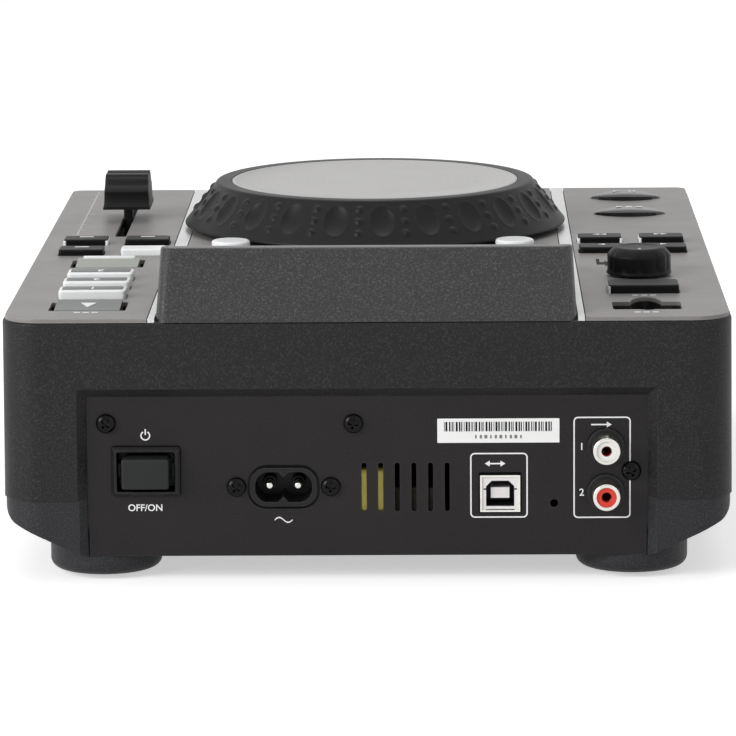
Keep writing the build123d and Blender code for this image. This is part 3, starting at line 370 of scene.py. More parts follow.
# ---------------------------------------------------------------- finishes
class Shader:
    """A material's node tree around its Principled shader."""

    def __init__(self, name: str) -> None:
        """Start a material with a Principled shader.

        Args:
            name: The material's name.
        """
        self.material = bpy.data.materials.new(name)
        self.material.use_nodes = True
        self.tree = self.material.node_tree
        self.surface = self.tree.nodes["Principled BSDF"]
        self.coords = self.node("ShaderNodeTexCoord").outputs["Object"]

    def node(self, kind: str, inputs: dict[str, object] | None = None, **values: object) -> bpy.types.Node:
        """Add a node with these properties, and with links or numbers on its inputs.

        Args:
            kind: The node's type.
            inputs: Links or numbers for its inputs.
            **values: Its properties.

        Returns:
            The node.
        """
        made = self.tree.nodes.new(kind)
        for key, value in values.items():
            setattr(made, key, value)
        self.feed(made, inputs or {})
        return made

    def feed(self, node: bpy.types.Node, inputs: dict[str, object]) -> None:
        """Link sockets, or set numbers, on a node's inputs.

        Args:
            node: The node.
            inputs: Sockets or numbers, by input.
        """
        for key, value in inputs.items():
            if isinstance(value, Socket):
                self.tree.links.new(value, node.inputs[key])
            else:
                node.inputs[key].default_value = value

    def mapped(self, scale: Point = (1, 1, 1), shift: Point = (0, 0, 0)) -> Socket:
        """Object coordinates, moved and scaled."""
        inputs = {"Location": shift, "Scale": scale, "Vector": self.coords}
        return self.node("ShaderNodeMapping", inputs, vector_type="POINT").outputs["Vector"]

    def noise(self, scale: float, detail: float, rough: float, vector: Socket | None = None) -> Socket:
        """Noise of this many features a metre."""
        inputs = {"Scale": scale, "Detail": detail, "Roughness": rough, "Vector": vector or self.coords}
        return self.node("ShaderNodeTexNoise", inputs).outputs["Fac"]

    def spread(self, factor: Socket, low: float, high: float, start: float = 0.0, end: float = 1.0) -> Socket:
        """Map a factor between start and end to the range low to high."""
        inputs = {"Value": factor, "From Min": start, "From Max": end, "To Min": low, "To Max": high}
        return self.node("ShaderNodeMapRange", inputs).outputs["Result"]

    def math(self, operation: str, first: Socket, second: Socket | float) -> Socket:
        """One sum on two values."""
        return self.node("ShaderNodeMath", {0: first, 1: second}, operation=operation).outputs[0]

    def blend(self, factor: Socket, first: Point | Socket, second: Point | Socket) -> Socket:
        """Mix two colours by a factor."""
        colors = [(*value, 1) if isinstance(value, tuple) else value for value in (first, second)]
        return self.node("ShaderNodeMix", {0: factor, 6: colors[0], 7: colors[1]}, data_type="RGBA").outputs[2]

    def rounded(self, radius: float) -> Socket:
        """The normal with its edges rounded to this radius."""
        return self.node("ShaderNodeBevel", {"Radius": radius}, samples=4).outputs["Normal"]

    def edges(self, radius: float) -> Socket:
        """A factor that is 1 on edges sharper than this radius and 0 on flats.

        Args:
            radius: The radius.

        Returns:
            The factor.
        """
        plain = self.node("ShaderNodeNewGeometry").outputs["Normal"]
        dot = self.node("ShaderNodeVectorMath", {0: self.rounded(radius), 1: plain}, operation="DOT_PRODUCT")
        return self.spread(dot.outputs["Value"], 1.0, 0.0, 0.86, 0.995)


class Grain(Enum):
    """How a surface is textured."""

    POLISHED = "polished"
    SATIN = "satin"
    SPARKED = "sparked"
    LEATHERY = "leathery"
    BRUSHED = "brushed"
    SPUN = "spun"
    WOVEN = "woven"


@dataclass(frozen=True)
class Finish:
    """One surface finish.

    Attributes:
        name: The material's name.
        color: Base colour, as display values from 0 to 255.
        roughness: Mean roughness.
        grain: The kind of texture.
        grain_size: Size of the texture's features, in millimetres.
        grain_depth: Depth of the texture, in millimetres.
        tone: Share by which the colour varies over the surface.
        speckle: Share by which the grain's tops are painted lighter as glints and its hollows painted darker as
            shade.
        metallic: 1 for bare metal.
        specular: Specular level.
        coat: Weight of a clear coat.
        wear: Share of lighter colour on the edges.
        rounding: Radius of the shaded edges, in millimetres.
        glow: Share of light that scatters under the surface.
        centre: A point on the axis of a spun texture.
    """

    name: str
    color: Point
    roughness: float
    grain: Grain = Grain.SATIN
    grain_size: float = 0.4
    grain_depth: float = 0.003
    tone: float = 0.1
    speckle: float = 0.0
    metallic: float = 0.0
    specular: float = 0.4
    coat: float = 0.0
    wear: float = 0.0
    rounding: float = 0.0
    glow: float = 0.0
    centre: Point = (0.0, 0.0, 0.0)

    def make(self) -> bpy.types.Material:
        """Build the material's nodes.

        Returns:
            The material.
        """
        shader = Shader(self.name)
        values = {"Metallic": self.metallic, "Specular IOR Level": self.specular}
        if self.coat > 0:
            values |= {"Coat Weight": self.coat, "Coat Roughness": 0.12}
        if self.glow > 0:
            values |= {"Subsurface Weight": self.glow, "Subsurface Radius": (2 * MM,) * 3, "Subsurface Scale": 1.0}
        height = self.texture(shader)
        values["Base Color"] = self.tint(shader, height)
        values["Roughness"] = self.sheen(shader, height)
        normal = shader.rounded(self.rounding * MM) if self.rounding > 0 else None
        if self.grain_depth > 0:
            inputs = {"Distance": self.grain_depth * MM, "Height": height}
            if normal is not None:
                inputs["Normal"] = normal
            normal = shader.node("ShaderNodeBump", inputs).outputs["Normal"]
        if normal is not None:
            values["Normal"] = normal
        shader.feed(shader.surface, values)
        return shader.material

    def texture(self, shader: Shader) -> Socket:
        """The height factor of this finish's texture.

        Args:
            shader: The material's node tree.

        Returns:
            The height factor.
        """
        scale = 1 / (self.grain_size * MM)
        if self.grain is Grain.BRUSHED:
            return shader.noise(scale, 3, 0.6, shader.mapped(scale=(0.04, 1, 1)))
        if self.grain is Grain.SPUN:
            inputs = {"Scale": scale / math.tau / 3, "Distortion": 0.6, "Detail": 2,
                      "Vector": shader.mapped(shift=tuple(-value for value in self.centre))}
            return shader.node("ShaderNodeTexWave", inputs, wave_type="RINGS", rings_direction="Z").outputs["Fac"]
        if self.grain is Grain.LEATHERY:
            inputs = {"Scale": scale, "Smoothness": 0.6, "Vector": shader.coords}
            return shader.node("ShaderNodeTexVoronoi", inputs, feature="SMOOTH_F1").outputs["Distance"]
        if self.grain is Grain.WOVEN:
            inputs = {"Scale": scale, "Vector": shader.coords}
            wave = shader.node("ShaderNodeTexWave", inputs, wave_type="BANDS", bands_direction="DIAGONAL")
            return wave.outputs["Fac"]
        return shader.noise(scale, 5 if self.grain is Grain.SPARKED else 2, 0.6)

    def linear(self) -> Point:
        """The colour's linear values."""
        shares = [value / 255 for value in self.color]
        return tuple(s / 12.92 if s <= 0.04045 else ((s + 0.055) / 1.055) ** 2.4 for s in shares)

    def shade(self, factor: float, lift: float = 0.0) -> Point:
        """The colour multiplied by a factor and lifted, kept under 1."""
        return tuple(min(1.0, value * factor + lift) for value in self.linear())

    def tint(self, shader: Shader, height: Socket) -> Socket:
        """Colour with slow variation, painted glints on the grain's tops and painted shade in its hollows, and
        lighter edges.

        Args:
            shader: The material's node tree.
            height: The height factor.

        Returns:
            The colour.
        """
        slow = shader.spread(shader.noise(35, 3, 0.55), 0, 1, 0.3, 0.7)
        color = shader.blend(slow, self.shade(1 - self.tone), self.shade(1 + self.tone))
        # Painted light: the colour follows the grain's height, lighter tops as painted glints and darker hollows as
        # painted shade.
        if self.speckle > 0:
            light = self.shade(1 + self.speckle, 0.01 * self.speckle)
            dark = self.shade(1 - 0.55 * min(1.0, self.speckle))
            color = shader.blend(shader.spread(height, 0, 0.7, 0.52, 0.66), color, light)
            color = shader.blend(shader.spread(height, 0.6, 0, 0.34, 0.48), color, dark)
        if self.wear > 0:
            patchy = shader.spread(shader.noise(420, 3, 0.6), 0.15, 1, 0.35, 0.65)
            mask = shader.math("MULTIPLY", shader.edges(0.5 * MM), patchy)
            color = shader.blend(mask, color, self.shade(1 + 2 * self.wear, 0.06 * self.wear))
        return color

    def sheen(self, shader: Shader, height: Socket) -> Socket:
        """Roughness that varies with handling marks and with the grain.

        Args:
            shader: The material's node tree.
            height: The height factor.

        Returns:
            The roughness.
        """
        marks, reach = shader.noise(60, 4, 0.6), 0.08 * self.roughness
        rough = shader.spread(marks, self.roughness - reach, self.roughness + reach, 0.3, 0.7)
        if self.grain in (Grain.BRUSHED, Grain.SPUN):
            rough = shader.math("ADD", rough, shader.spread(height, -0.02, 0.02))
        return rough


# Each finish's grain glint share paints glints on its grain's tops and shade in its hollows.
FINISHES = (
    Finish("shell_moulding", (24, 24, 25), 0.5, Grain.SPARKED, 0.5, 0.06, tone=0.04, speckle=2.0, specular=0.24,
           wear=0.5, rounding=0.4),
    Finish("base_moulding", (37, 37, 40), 0.5, Grain.SPARKED, 0.5, 0.05, tone=0.04, speckle=1.4, specular=0.26,
           wear=0.5, rounding=0.5),
    Finish("hump_moulding", (34, 34, 35), 0.32, Grain.SPARKED, 0.55, 0.1, tone=0.06, speckle=3.4, specular=0.5,
           wear=0.3, rounding=0.3),
    Finish("deck_paint", (134, 131, 129), 0.45, Grain.SPARKED, 0.4, 0.006, tone=0.012, speckle=0.12,
           specular=0.35, wear=0.3, rounding=0.2),
    Finish("trim_metal", (206, 207, 206), 0.34, Grain.BRUSHED, 0.4, 0.004, tone=0.06, metallic=0.7, wear=0.1,
           rounding=0.2),
    Finish("panel_powder_coat", (30, 27, 28), 0.5, Grain.SPARKED, 0.5, 0.02, tone=0.12, speckle=0.5,
           specular=0.22, wear=0.4),
    Finish("black_oxide", (7, 7, 8), 0.16, Grain.POLISHED, 0.6, tone=0.12, specular=0.14, wear=0.4),
    Finish("foot_rubber", (18, 18, 18), 0.7, Grain.SPARKED, 0.5, 0.03, speckle=0.6, specular=0.25, wear=0.5),
    Finish("soft_touch_grip", (18, 18, 19), 0.46, Grain.SPARKED, 0.5, 0.01, tone=0.08, speckle=0.4,
           specular=0.2, wear=0.3),
    Finish("spun_disc", (182, 181, 180), 0.46, Grain.SPUN, 0.4, 0.001, tone=0.02, metallic=0.2, specular=0.35,
           wear=0.3),
    Finish("black_moulding", (18, 18, 19), 0.4, grain_depth=0.006, specular=0.25, wear=0.6, rounding=0.2),
    Finish("key_black", (5, 5, 6), 0.46, Grain.SATIN, 0.3, 0.004, specular=0.15, wear=1.0, rounding=0.3),
    Finish("key_gloss", (6, 6, 7), 0.24, Grain.SATIN, 0.3, specular=0.5, wear=0.6),
    Finish("fader_moulding", (16, 16, 17), 0.5, Grain.SATIN, 0.3, 0.005, specular=0.2, wear=0.5),
    Finish("key_grey", (104, 108, 106), 0.4, Grain.SATIN, 0.3, 0.004, tone=0.06, wear=0.4, rounding=0.15),
    Finish("key_sage", (150, 154, 146), 0.42, Grain.SATIN, 0.3, 0.004, tone=0.05, wear=0.3, rounding=0.15),
    Finish("key_white", (249, 251, 252), 0.35, tone=0.015, specular=0.5, glow=0.2, rounding=0.15),
    Finish("switch_cap_grey", (36, 38, 38), 0.42, grain_depth=0.006, tone=0.08, specular=0.2, wear=0.9,
           rounding=0.25),
    Finish("smoked_window", (10, 10, 12), 0.08, Grain.POLISHED, 2.0, 0.0, tone=0.2, specular=0.5, coat=0.6),
    Finish("screen_glass", (24, 28, 34), 0.2, Grain.POLISHED, 1.0, 0.0),
    Finish("nickel_plate", (214, 212, 206), 0.24, Grain.SATIN, 0.6, tone=0.05, metallic=1.0, wear=0.2),
    Finish("white_insulator", (250, 250, 248), 0.3, tone=0.02, glow=0.15),
    Finish("red_insulator", (232, 62, 42), 0.3, tone=0.06, glow=0.1),
    # Painted shade: dark red for the centre contacts, the red insulator darkened deep in the socket holes.
    Finish("contact_resin", (150, 14, 12), 0.35),
    Finish("port_insert", (240, 236, 235), 0.4, grain_depth=0.004, tone=0.05, wear=0.2),
    # Painted shade: the dark of the data socket's cavity, on its lining and on thin strips over its insert.
    Finish("port_cavity", (28, 27, 33), 0.45, grain_depth=0.004, tone=0.15, specular=0.3),
    # Painted shade: near-black matte for thin sheets and linings that stand for shadow round fittings and in slots
    # and pits.
    Finish("shadow_gap", (7, 7, 7), 0.8, grain_depth=0.0, tone=0.2, specular=0.05),
    Finish("board_mask", (24, 92, 52), 0.35, Grain.SATIN, 0.8, 0.006, tone=0.15, specular=0.5),
    Finish("winding_tape", (255, 232, 104), 0.35, Grain.BRUSHED, 0.6, 0.02, tone=0.12, specular=0.45),
    Finish("capacitor_can", (196, 200, 190), 0.4, Grain.SATIN, 0.6, 0.006, tone=0.08, metallic=0.1),
    Finish("dark_nylon", (60, 60, 60), 0.5, Grain.SATIN, 0.5, 0.008, tone=0.08),
    Finish("pressed_steel", (160, 160, 160), 0.4, Grain.BRUSHED, 0.5, 0.005, tone=0.08, metallic=0.9),
    Finish("acetal", (214, 212, 206), 0.4, grain_depth=0.004, tone=0.08),
    Finish("slot_felt", (16, 16, 17), 0.95, Grain.LEATHERY, 0.25, 0.06, tone=0.2, speckle=0.8, specular=0.1),
    Finish("white_ink", (248, 248, 248), 0.55, Grain.SATIN, 0.2, 0.0, tone=0.06, speckle=0.05),
    Finish("pale_ink", (196, 194, 192), 0.55, Grain.SATIN, 0.2, 0.0, tone=0.08),
    Finish("black_ink", (14, 14, 14), 0.6, Grain.SATIN, 0.2, 0.0, specular=0.1),
    Finish("grey_ink", (128, 126, 127), 0.5, Grain.SATIN, 0.2, 0.0),
    Finish("pad_strip_grey", (92, 95, 94), 0.4, Grain.SATIN, 0.3, tone=0.06),
    Finish("label_paper", (253, 253, 252), 0.5, Grain.WOVEN, 0.6, 0.004, tone=0.02, coat=0.1),
)
BLACK_KEYS = ("key_right_1", "key_right_2", "key_right_4", "key_back", "key_left_1", "key_left_2", "key_left_3",
              "key_left_4", "key_cue", "key_play", "pitch_knob", "select_knob")
WHITE_KEYS = ("key_right_3", "key_round_right", "key_round_left", "pad_1", "pad_2", "pad_3")
NODE_FINISHES = {
    "shell_moulding": ("top_cover",),
    "base_moulding": ("bottom_cover",),
    "hump_moulding": ("display_housing",),
    "deck_paint": ("deck_plate_centre", "deck_plates_side"),
    "trim_metal": ("trim_strips",),
    "smoked_window": ("display_window",),
    "screen_glass": ("display_module",),
    "panel_powder_coat": ("rear_panel",),
    "black_oxide": ("screws",),
    "foot_rubber": ("feet", "loading_roller"),
    "black_moulding": ("power_switch", "ac_inlet", "rca_block", "usb_a_socket"),
    "switch_cap_grey": ("power_button",),
    "nickel_plate": ("ac_pins", "usb_b_shell", "rca_shells"),
    "port_insert": ("usb_b_insert",),
    "white_insulator": ("rca_core_left",),
    "red_insulator": ("rca_core_right",),
    "board_mask": ("main_board", "psu_board", "key_boards"),
    "winding_tape": ("psu_transformer",),
    "capacitor_can": ("psu_capacitors",),
    "dark_nylon": ("key_switches", "jog_sensor", "select_encoder", "laser_sled"),
    "soft_touch_grip": ("jog_rim",),
    "spun_disc": ("jog_disc",),
    "acetal": ("jog_hub", "jog_bearing"),
    "pressed_steel": ("pitch_fader", "select_shaft", "drive_chassis", "spindle_hub"),
    "key_black": BLACK_KEYS,
    "key_white": WHITE_KEYS,
    "key_grey": ("key_eject",),
    "key_sage": ("key_menu",),
}
Palette = dict[str, bpy.types.Material]


def make_palette() -> Palette:
    """Make every finish once, with the spun one centred on the jog wheel's axis.

    Returns:
        The materials by name.
    """
    centre = span("jog_rim")[2]
    axis = (centre.x, centre.y, 0.0)
    return {finish.name: replace(finish, centre=axis).make() for finish in FINISHES}


def dress_nodes(palette: Palette) -> None:
    """Give each of the frame's own nodes its finish.

    Args:
        palette: The finishes by name.
    """
    for finish, names in NODE_FINISHES.items():
        for name in names:
            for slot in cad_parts[name].material_slots:
                slot.material = palette[finish]
    dressed = {name for names in NODE_FINISHES.values() for name in names}
    LOG.info("dressed %d nodes, left plain: %s", len(dressed), sorted(set(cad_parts) - dressed))


# ---------------------------------------------------------------- assemblies
@dataclass
class Assembly:
    """A group of pieces.

    Attributes:
        palette: The finishes, by name.
    """

    palette: Palette

    @property
    def deck(self) -> float:
        """Height of the deck's surface."""
        return span("deck_plate_centre")[1].z

    @property
    def panel(self) -> float:
        """Y of the rear panel's outer face."""
        return span("rear_panel")[1].y

    def add(self, obj: Piece, body: str, slot: str, finish: str, angle: float = 0.0, instead: str = "") -> None:
        """Finish a piece and say what it rides on.

        Args:
            obj: The piece.
            body: The body that it rides on.
            slot: Name of its slot, not used.
            finish: Name of its finish.
            angle: Greatest angle in degrees between faces that are shaded smooth, 0 for flat shading.
            instead: The node that it stands for, if any.
        """
        if angle:
            only(obj)
            bpy.ops.object.shade_smooth_by_angle(angle=math.radians(angle))
        obj.data.materials.clear()
        obj.data.materials.append(self.palette[finish])
        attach(obj, body)
        if instead:
            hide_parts(instead)
        LOG.info("%s rides on %s, %d faces", obj.name, body, len(obj.data.polygons))


@dataclass
class JogWheel(Assembly):
    """The jog wheel's touch disc and its grip ring, with oval dimples between columns of small domes.

    Attributes:
        periods: Number of dimples.
        phase: Angle of the first dimple from +X, in degrees.
        dimple_half_width: Half the dimple's width.
        dimple_half_length: Half its length up the slope.
        dimple_depth: Its depth.
        dimple_rise: Distance of its centre up the slope from the slope's middle.
        dimple_lip: Height of the soft lip round it.
        dome_radius: Radius of a small dome.
        dome_height: Height of a small dome.
        dome_pitch: Distance between domes in a column.
        slope_width: Width of the slope in plan.
        slope_steps: Rows of faces up the slope.
        steps_per_period: Columns of faces from one dimple to the next.
        dish: Depth of the disc's face under its rolled edge.
    """

    periods: int = 24
    phase: float = 3.2
    dimple_half_width: float = 3.9 * MM
    dimple_half_length: float = 5.5 * MM
    dimple_depth: float = 1.0 * MM
    dimple_rise: float = 1.0 * MM
    dimple_lip: float = 0.14 * MM
    dome_radius: float = 1.25 * MM
    dome_height: float = 0.6 * MM
    dome_pitch: float = 4.5 * MM
    slope_width: float = 11.2 * MM
    slope_steps: int = 34
    steps_per_period: int = 36
    dish: float = 0.35 * MM

    def build(self) -> None:
        """Model the ring and the disc and put them in the places of the plain ones."""
        low, high, centre = span("jog_rim")
        disc_low, disc_high, _ = span("jog_disc")
        radius, top = (high.x - low.x) / 2, high.z - low.z
        disc_radius, seat = (disc_high.x - disc_low.x) / 2, disc_low.z - low.z
        inner, shoulder = disc_radius + 0.1 * MM, radius - self.slope_width
        start = Vector((radius - 0.5 * MM, 1.4 * MM))
        end = Vector((shoulder + 0.9 * MM, top - 0.9 * MM))
        crown_radius, crown = 1.35 * MM, []
        for step in range(7):
            angle = math.radians(40 + 50 * step / 6)
            crown.append((shoulder - 0.4 * MM + crown_radius * math.cos(angle),
                          top - crown_radius + crown_radius * math.sin(angle)))
        foot = [(-5, 0), (-0.6, 0), (-0.15, 0.15), (0, 0.4), (0, 0.7), (-0.2, 1.05)]
        profile = [*shifted(foot, radius, 0), *(tuple(start.lerp(end, i / self.slope_steps))
                                               for i in range(self.slope_steps + 1)),
                   *crown, *shifted([(0.35, 0), (0, -0.3)], inner, top),
                   *shifted([(0, 0), (-5, 0), (-5, -2)], inner, seat), (shoulder - 2.6 * MM, seat - 2 * MM),
                   (radius - 5 * MM, 0)]
        base = (centre.x, centre.y, low.z)
        ring = lathe("jog_grip_ring", profile, base, self.periods * self.steps_per_period)
        self.emboss(ring, Vector(base), start, end)
        self.add(ring, "jog", "jog_black", "soft_touch_grip", 40, "jog_rim")
        height = disc_high.z - disc_low.z
        edge = [(0, -0.45), (-0.12, -0.15), (-0.4, 0), (-1.1, 0), (-1.4, -0.12)]
        face = [(reach, height - self.dish) for reach in (disc_radius - 1.8 * MM, disc_radius * 0.75,
                                                          disc_radius * 0.5, disc_radius * 0.25, 0)]
        profile = [(0, 0), (disc_radius, 0), *shifted(edge, disc_radius, height), *face]
        disc = lathe("jog_touch_disc", profile, (centre.x, centre.y, disc_low.z), 256)
        self.add(disc, "jog", "jog_silver", "spun_disc", 30, "jog_disc")

    def emboss(self, ring: Piece, base: Vector, start: Vector, end: Vector) -> None:
        """Press the dimples into the slope and raise the domes on it.

        Args:
            ring: The plain ring.
            base: Centre of its foot.
            start: Radius and height of the slope's lower end.
            end: Radius and height of its upper end.
        """
        length = (end - start).length
        along = (end - start) / length
        outward = Vector((along.y, -along.x))
        period, phase = math.tau / self.periods, math.radians(self.phase)
        for vertex in ring.data.vertices:
            dx, dy = vertex.co.x - base.x, vertex.co.y - base.y
            away = math.hypot(dx, dy)
            offset = Vector((away, vertex.co.z - base.z)) - start
            travel = offset.dot(along)
            if abs(offset.dot(outward)) > 0.02 * MM or not 0 < travel < length:
                continue
            reach = start.x + along.x * travel
            turns = (math.atan2(dy, dx) - phase) / period
            around = (turns - round(turns)) * period * reach
            rise = self.relief(around, travel - length / 2 - self.dimple_rise, period * reach)
            if rise:
                grow = 1 + outward.x * rise / away
                vertex.co = (base.x + dx * grow, base.y + dy * grow, vertex.co.z + outward.y * rise)

    def relief(self, across: float, up: float, pitch: float) -> float:
        """Height of the surface over the plain slope.

        Args:
            across: Distance round the ring from a dimple's centre.
            up: Distance up the slope from it.
            pitch: Distance from one dimple to the next at this height.

        Returns:
            The height, negative inside a dimple.
        """
        share = (across / self.dimple_half_width) ** 2 + (up / self.dimple_half_length) ** 2
        if share < 1:
            return -self.dimple_depth * (1 - share) ** 0.75
        if share < 1.3:
            return self.dimple_lip * math.sin(math.pi * (share - 1) / 0.3)
        from_column = abs(abs(across) - pitch / 2)
        for row in (-1, 0, 1):
            away = math.hypot(from_column, up - row * self.dome_pitch) / self.dome_radius
            if away < 1:
                return self.dome_height * math.sqrt(1 - away * away)
        return 0.0


@dataclass
class PitchFader(Assembly):
    """The fader's cap, its stem and the printed scale beside the slot.

    Attributes:
        scale_x: X of the printed line.
        scale_ends: Y of the line's two ends.
        centre_tick: Y of the longer tick.
        tick_count: Number of ticks on each side of it.
        line: Width of the printed line.
        print_rise: Thickness of the print.
        cap_height: Height of the cap over its stem.
        lip_share: Height of the lower lip, as a share of the cap's.
        lip_width: Width of the lip's lower edge, as a share of the plain cap's.
        skirt_width: Width just above the lip.
        top_width: Width at the top.
        valley: Height of the finger groove, as a share of the cap's.
    """

    scale_x: float = 99.3 * MM
    scale_ends: Flat = (-137.5 * MM, -34.0 * MM)
    centre_tick: float = -82.6 * MM
    tick_count: int = 4
    line: float = 0.55 * MM
    print_rise: float = 0.05 * MM
    cap_height: float = 11.4 * MM
    lip_share: float = 0.13
    lip_width: float = 1.05
    skirt_width: float = 0.995
    top_width: float = 0.94
    valley: float = 0.885

    def build(self) -> None:
        """Model the cap, the stem and the scale."""
        low, high, middle = span("pitch_knob")
        half, side = (high.y - low.y) / 2, (high.x - low.x) / 2
        rise = self.cap_height
        bottom = high.z - rise
        rear = [(1.0, 0.0), (1.0, 0.1), (0.965, 0.15), (0.94, 0.17), (0.93, 0.3), (0.945, 0.46), (0.97, 0.53),
                (0.95, 0.575), (0.8, 0.68), (0.735, 0.71), (0.7, 0.76), (0.695, 0.83), (0.68, 0.86),
                (0.58, 0.925), (0.55, 0.945), (0.53, 0.985), (0.505, 1.0), (0.17, 1.0), (0.12, 0.97), (0.06, 0.9)]
        outline = rear + [(0.0, self.valley)] + [(-y, z) for y, z in reversed(rear)]
        cap = prism("fader_cap", [(middle.x - side, middle.y + y * half, bottom + z * rise) for y, z in outline],
                    (2 * side, 0, 0))
        self.flare(cap, middle.x, side, bottom)
        apply_modifier(cap, "BEVEL", width=0.22 * MM, segments=3, limit_method="ANGLE",
                       angle_limit=math.radians(38))
        self.add(cap, "pitch_knob", "button_black", "fader_moulding", 32, "pitch_knob")
        stem = tile("fader_stem", (middle.x, middle.y, low.z), (3 * MM, 5 * MM, bottom - low.z + 0.4 * MM), 0.5 * MM)
        self.add(stem, "pitch_knob", "button_black", "black_moulding", 35)
        index = tile("fader_index_line", (middle.x, middle.y, bottom + self.valley * rise),
                     (2 * side - 1.2 * MM, 0.7 * MM, 0.08 * MM))
        self.add(index, "pitch_knob", "button_white", "white_ink")
        self.build_scale()

    def flare(self, cap: Piece, middle: float, side: float, bottom: float) -> None:
        """Narrow the cap towards its top and spread its lower lip.

        Args:
            cap: The cap.
            middle: X of its centre.
            side: Half its width.
            bottom: Height of its lower edge.
        """
        with editing(cap):
            pick(cap, "EDGE", lambda e: abs(e.verts[0].co.x - e.verts[1].co.x) > side)
            bpy.ops.mesh.subdivide(number_cuts=6)
        for vertex in cap.data.vertices:
            height = (vertex.co.z - bottom) / self.cap_height
            if height < self.lip_share:
                reach = self.lip_width + (self.skirt_width - self.lip_width) * height / self.lip_share
            else:
                share = (height - self.lip_share) / (1 - self.lip_share)
                reach = self.skirt_width + (self.top_width - self.skirt_width) * share
            vertex.co.x = middle + (vertex.co.x - middle) * reach

    def build_scale(self) -> None:
        """Print the line and its ticks on the deck."""
        far, near = self.scale_ends
        marks = [tile("fader_scale_line", (self.scale_x, (far + near) / 2, self.deck),
                      (self.line, near - far, self.print_rise))]
        reach = min(near - self.centre_tick, self.centre_tick - far)
        for number in range(-self.tick_count, self.tick_count + 1):
            spot = (self.scale_x, self.centre_tick + number * reach / self.tick_count, self.deck)
            length = (2.6 if number else 5.0) * MM
            marks.append(tile("fader_scale_tick", spot, (length, self.line * 1.3, self.print_rise)))
        self.add(join_all("fader_scale", marks), "case", "trim_silver", "pale_ink")


@dataclass
class SelectKnob(Assembly):
    """The fluted select knob and its pointer.

    Attributes:
        flutes: Number of grooves round it.
        flute_depth: Depth of a groove.
        bore: Radius of its bore.
        edge: Height of the plain bands above and below the grooves.
    """

    flutes: int = 12
    flute_depth: float = 0.22 * MM
    bore: float = 3.05 * MM
    edge: float = 1.3 * MM

    def build(self) -> None:
        """Model the knob and put it in the place of the plain one."""
        low, high, centre = span("select_knob")
        radius, height = (high.x - low.x) / 2, high.z - low.z
        walls = [(radius - 0.2 * MM, 1.0 * MM + i * (height - 3.5 * MM) / 8) for i in range(9)]
        skirt = shifted([(-0.2, 0), (0, 0.2), (0, 0.5), (-0.12, 0.8)], radius, 0)
        crown = shifted([(-0.4, -2.1), (-0.9, -1.5), (-1.95, -0.5), (-2.5, -0.12), (-3.0, 0), (-3.6, 0),
                         (-4.2, -0.18)], radius, height)
        profile = [(self.bore, 0), *skirt, *walls, *crown, (radius * 0.28, height - 0.3 * MM),
                   *shifted([(0, -0.3), (0, -2.5)], 0, height), (self.bore, height - 2.5 * MM), (self.bore, 0)]
        knob = lathe("select_knob_cap", profile, (centre.x, centre.y, low.z), self.flutes * 22)
        for vertex in knob.data.vertices:
            dx, dy, up = vertex.co.x - centre.x, vertex.co.y - centre.y, vertex.co.z - low.z
            away = math.hypot(dx, dy)
            if away < radius - 1.3 * MM or not self.edge < up < height - 1.2 * MM:
                continue
            groove = max(0.0, math.cos(self.flutes * math.atan2(dy, dx))) ** 1.6
            shrink = 1 - self.flute_depth * groove * min(1.0, (up - self.edge) / (0.5 * MM)) / away
            vertex.co.x = centre.x + dx * shrink
            vertex.co.y = centre.y + dy * shrink
        self.add(knob, "select_knob", "button_black", "key_black", 40, "select_knob")
        pointer = tile("select_knob_pointer", (centre.x, centre.y + radius * 0.42, high.z - 0.3 * MM),
                       (0.9 * MM, 3.2 * MM, 0.08 * MM), 0.3 * MM)
        self.add(pointer, "select_knob", "button_white", "pale_ink")


@dataclass
class AlmondKeys(Assembly):
    """The two almond-shaped keys, domed and running out to a point at each side.

    Attributes:
        flange_reach: How far the plain key's flange stands out at the points.
        flange_ring: How far it stands out at the middle.
        end_height: Height over the deck at the points.
        crown: Rise of the dome over its edge at the middle.
        columns: Number of steps across the key.
        rows: Number of steps along it.
    """

    flange_reach: float = 2.0 * MM
    flange_ring: float = 1.0 * MM
    end_height: float = 0.35 * MM
    crown: float = 0.75 * MM
    columns: int = 48
    rows: int = 14

    def build(self) -> None:
        """Model both keys."""
        deck = self.deck
        for name in ("key_cue", "key_play"):
            low, high, centre = span(name)
            half = (high.x - low.x) / 2 - self.flange_reach
            sag = (high.y - low.y) / 2 - self.flange_ring
            bend = (half * half + sag * sag) / (2 * sag)
            bpy.ops.object.select_all(action="DESELECT")
            bpy.ops.mesh.primitive_grid_add(x_subdivisions=self.columns, y_subdivisions=self.rows, size=2)
            key = bpy.context.object
            key.name = f"{name}_cap"
            for vertex in key.data.vertices:
                across, along = vertex.co.x, vertex.co.y
                reach = math.sqrt(bend ** 2 - (across * half) ** 2) - (bend - sag)
                share = 1 - across * across
                edge = self.end_height + (high.z - deck - self.crown - self.end_height) * share
                rise = edge + self.crown * math.sqrt(share) * (1 - abs(along) ** 5)
                vertex.co = (centre.x + across * half, centre.y + along * reach, deck + rise)
            with editing(key):
                pick(key, "EDGE", lambda e: e.is_boundary)
                push((0, 0, low.z - deck))
                bpy.ops.transform.resize(value=(1, 1, 0), center_override=(0, 0, low.z))
                bpy.ops.mesh.edge_face_add()
                face_outwards(weld=True)
            self.add(key, name, "button_grey", "key_gloss", 50, name)


